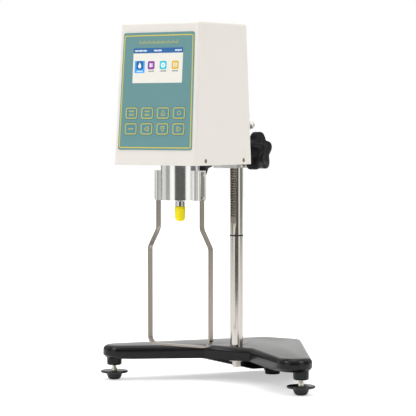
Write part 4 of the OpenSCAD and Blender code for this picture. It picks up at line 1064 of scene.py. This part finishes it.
def floor_material(lightness):
    """White floor, a little brighter far out so that it runs into the room; clear from below."""
    mat = bpy.data.materials.new("Studio floor")
    mat.use_nodes = True
    tree = mat.node_tree
    shader = tree.nodes["Principled BSDF"]
    shader.inputs["Base Color"].default_value = (lightness, lightness, lightness, 1.0)
    shader.inputs["Roughness"].default_value = 0.9
    shader.inputs["Specular IOR Level"].default_value = 0.1
    shader.inputs["Emission Color"].default_value = WHITE
    place = add_node(tree, "ShaderNodeTexCoord")
    reach = add_node(tree, "ShaderNodeVectorMath", operation="LENGTH")
    farther = {"From Min": 0.5, "From Max": 2.5, "To Min": 0.5, "To Max": 0.8}
    glow = add_node(tree, "ShaderNodeMapRange", farther)
    seen = add_node(tree, "ShaderNodeLightPath")
    strength = add_node(tree, "ShaderNodeMix", {"A": 0.16})  # what the floor sends into the object
    below = add_node(tree, "ShaderNodeNewGeometry")
    clear = add_node(tree, "ShaderNodeBsdfTransparent")
    choice = add_node(tree, "ShaderNodeMixShader")
    join(
        tree,
        (place, "Object", reach, 0),
        (reach, "Value", glow, "Value"),
        (seen, "Is Camera Ray", strength, "Factor"),
        (glow, "Result", strength, "B"),
        (strength, "Result", shader, "Emission Strength"),
        (below, "Backfacing", choice, "Fac"),
        (shader, "BSDF", choice, 1),
        (clear, "BSDF", choice, 2),
        (choice, "Shader", tree.nodes["Material Output"], "Surface"),
    )
    return mat


def surround(strength, heading):
    """World light: bright screens either side of a dark gap that faces the panel, seen as plain white."""
    world = bpy.data.worlds.new("Studio")
    world.use_nodes = True
    tree = world.node_tree
    background = tree.nodes["Background"]
    background.inputs["Strength"].default_value = strength
    place = add_node(tree, "ShaderNodeTexCoord")
    split = add_node(tree, "ShaderNodeSeparateXYZ")
    angle = add_node(tree, "ShaderNodeMath", operation="ARCTAN2")
    away = add_node(tree, "ShaderNodeMath", {1: heading}, operation="SUBTRACT")
    wrapped = add_node(tree, "ShaderNodeMath", {1: math.pi, 2: -math.pi}, operation="WRAP")
    share = add_node(tree, "ShaderNodeMapRange", {"From Min": -math.pi, "From Max": math.pi})
    ramp = add_node(tree, "ShaderNodeValToRGB")
    ramp.color_ramp.elements.remove(ramp.color_ramp.elements[1])
    for i, (degrees, value) in enumerate(ROOM):
        position = 0.5 + degrees / 360
        stop = ramp.color_ramp.elements[0] if i == 0 else ramp.color_ramp.elements.new(position)
        stop.position = position
        stop.color = (value, value, value * ROOM_WARMTH, 1.0)
    high = add_node(tree, "ShaderNodeMapRange", {"From Min": CEILING_FROM, "From Max": CEILING_FULL})
    mix = add_node(tree, "ShaderNodeMix", {"B": (CEILING, CEILING, CEILING, 1.0)}, data_type="RGBA")
    seen = add_node(tree, "ShaderNodeLightPath")
    plain = add_node(tree, "ShaderNodeBackground", {"Color": WHITE})
    choice = add_node(tree, "ShaderNodeMixShader")
    join(
        tree,
        (place, "Generated", split, "Vector"),
        (split, "Y", angle, 0),
        (split, "X", angle, 1),
        (angle, "Value", away, 0),
        (away, "Value", wrapped, 0),
        (wrapped, "Value", share, "Value"),
        (share, "Result", ramp, "Fac"),
        (split, "Z", high, "Value"),
        (high, "Result", mix, "Factor"),
        (ramp, "Color", mix, "A"),
        (mix, "Result", background, "Color"),
        (seen, "Is Camera Ray", choice, "Fac"),
        (background, "Background", choice, 1),
        (plain, "Background", choice, 2),
        (choice, "Shader", tree.nodes["World Output"], "Surface"),
    )
    return world


def soft_light(name, place, size, watts):
    """A rectangular soft light at a place, aimed at the object."""
    light = bpy.data.lights.new(name, "AREA")
    light.shape = "RECTANGLE"
    light.size, light.size_y = size
    light.energy = watts
    obj = bpy.data.objects.new(name, light)
    obj.location = place
    obj.rotation_euler = (Vector(LIGHT_AIM) - Vector(place)).to_track_quat("-Z", "Y").to_euler()
    bpy.context.scene.collection.objects.link(obj)


class VISC_OT_stage(bpy.types.Operator):
    """Pale floor, plain white room, soft studio light and the camera."""

    bl_idname = "viscometer.stage"
    bl_label = "Studio"

    def execute(self, context):
        scene = context.scene
        settings = scene.viscometer_studio
        heading = math.atan2(CAMERA_PLACE.y, CAMERA_PLACE.x)
        turn = math.radians(CAMERA_TURN)
        floor = bpy.data.objects.new("studio_floor", floor_mesh(FLOOR_FRONT, FLOOR_BACK, FLOOR_SIDE))
        floor.data.materials.append(floor_material(settings.floor))
        floor.data.transform(Matrix.Rotation(turn, 4, "Z"))
        scene.collection.objects.link(floor)
        scene.world = surround(settings.room, heading)
        soft_light("top_light", TOP_LIGHT_PLACE, TOP_LIGHT_SIZE, settings.top_light)
        for name, degrees in SIDE_LIGHTS.items():
            a = heading + math.radians(degrees)
            spot = (SIDE_LIGHT_REACH * math.cos(a), SIDE_LIGHT_REACH * math.sin(a), SIDE_LIGHT_Z)
            soft_light(name, spot, SIDE_LIGHT_SIZE, settings.side_light)
        camera = bpy.data.cameras.new("camera")
        camera.lens = CAMERA_LENS
        camera.sensor_width = CAMERA_SENSOR
        camera.clip_end = CAMERA_REACH
        view = bpy.data.objects.new("camera", camera)
        view.location = CAMERA_PLACE
        view.rotation_euler = (math.radians(90 - CAMERA_DIP), 0.0, turn)
        scene.collection.objects.link(view)
        scene.camera = view
        scene.view_settings.view_transform = "Standard"
        return {"FINISHED"}


STEPS = (
    VISC_OT_base,
    VISC_OT_feet,
    VISC_OT_column,
    VISC_OT_carriage,
    VISC_OT_knobs,
    VISC_OT_cover,
    VISC_OT_panel,
    VISC_OT_display,
    VISC_OT_keys,
    VISC_OT_spindle_end,
    VISC_OT_drive,
    VISC_OT_electronics,
    VISC_OT_rear,
    VISC_OT_stage,
)


class VISC_PT_sidebar(bpy.types.Panel):
    """Pieces, colours and light of the viscometer."""

    bl_idname = "VISC_PT_sidebar"
    bl_label = "Viscometer"
    bl_space_type = "VIEW_3D"
    bl_region_type = "UI"
    bl_category = "Viscometer"

    def draw(self, context):
        layout = self.layout
        for step in STEPS:
            layout.operator(step.bl_idname)
        for group in ("viscometer_colours", "viscometer_print", "viscometer_studio"):
            settings = getattr(context.scene, group)
            box = layout.box()
            for item in settings.bl_rna.properties:
                if item.identifier not in ("name", "rna_type"):
                    box.prop(settings, item.identifier)


CLASSES = (FinishColours, PanelPrint, StudioSettings, *STEPS, VISC_PT_sidebar)


def register():
    for entry in CLASSES:
        bpy.utils.register_class(entry)
    bpy.types.Scene.viscometer_colours = PointerProperty(type=FinishColours)
    bpy.types.Scene.viscometer_print = PointerProperty(type=PanelPrint)
    bpy.types.Scene.viscometer_studio = PointerProperty(type=StudioSettings)


def unregister():
    for name in ("viscometer_studio", "viscometer_print", "viscometer_colours"):
        delattr(bpy.types.Scene, name)
    for entry in reversed(CLASSES):
        bpy.utils.unregister_class(entry)


def main():
    register()
    for step in STEPS:
        group, name = step.bl_idname.split(".")
        getattr(getattr(bpy.ops, group), name)()


if __name__ == "__main__":
    main()
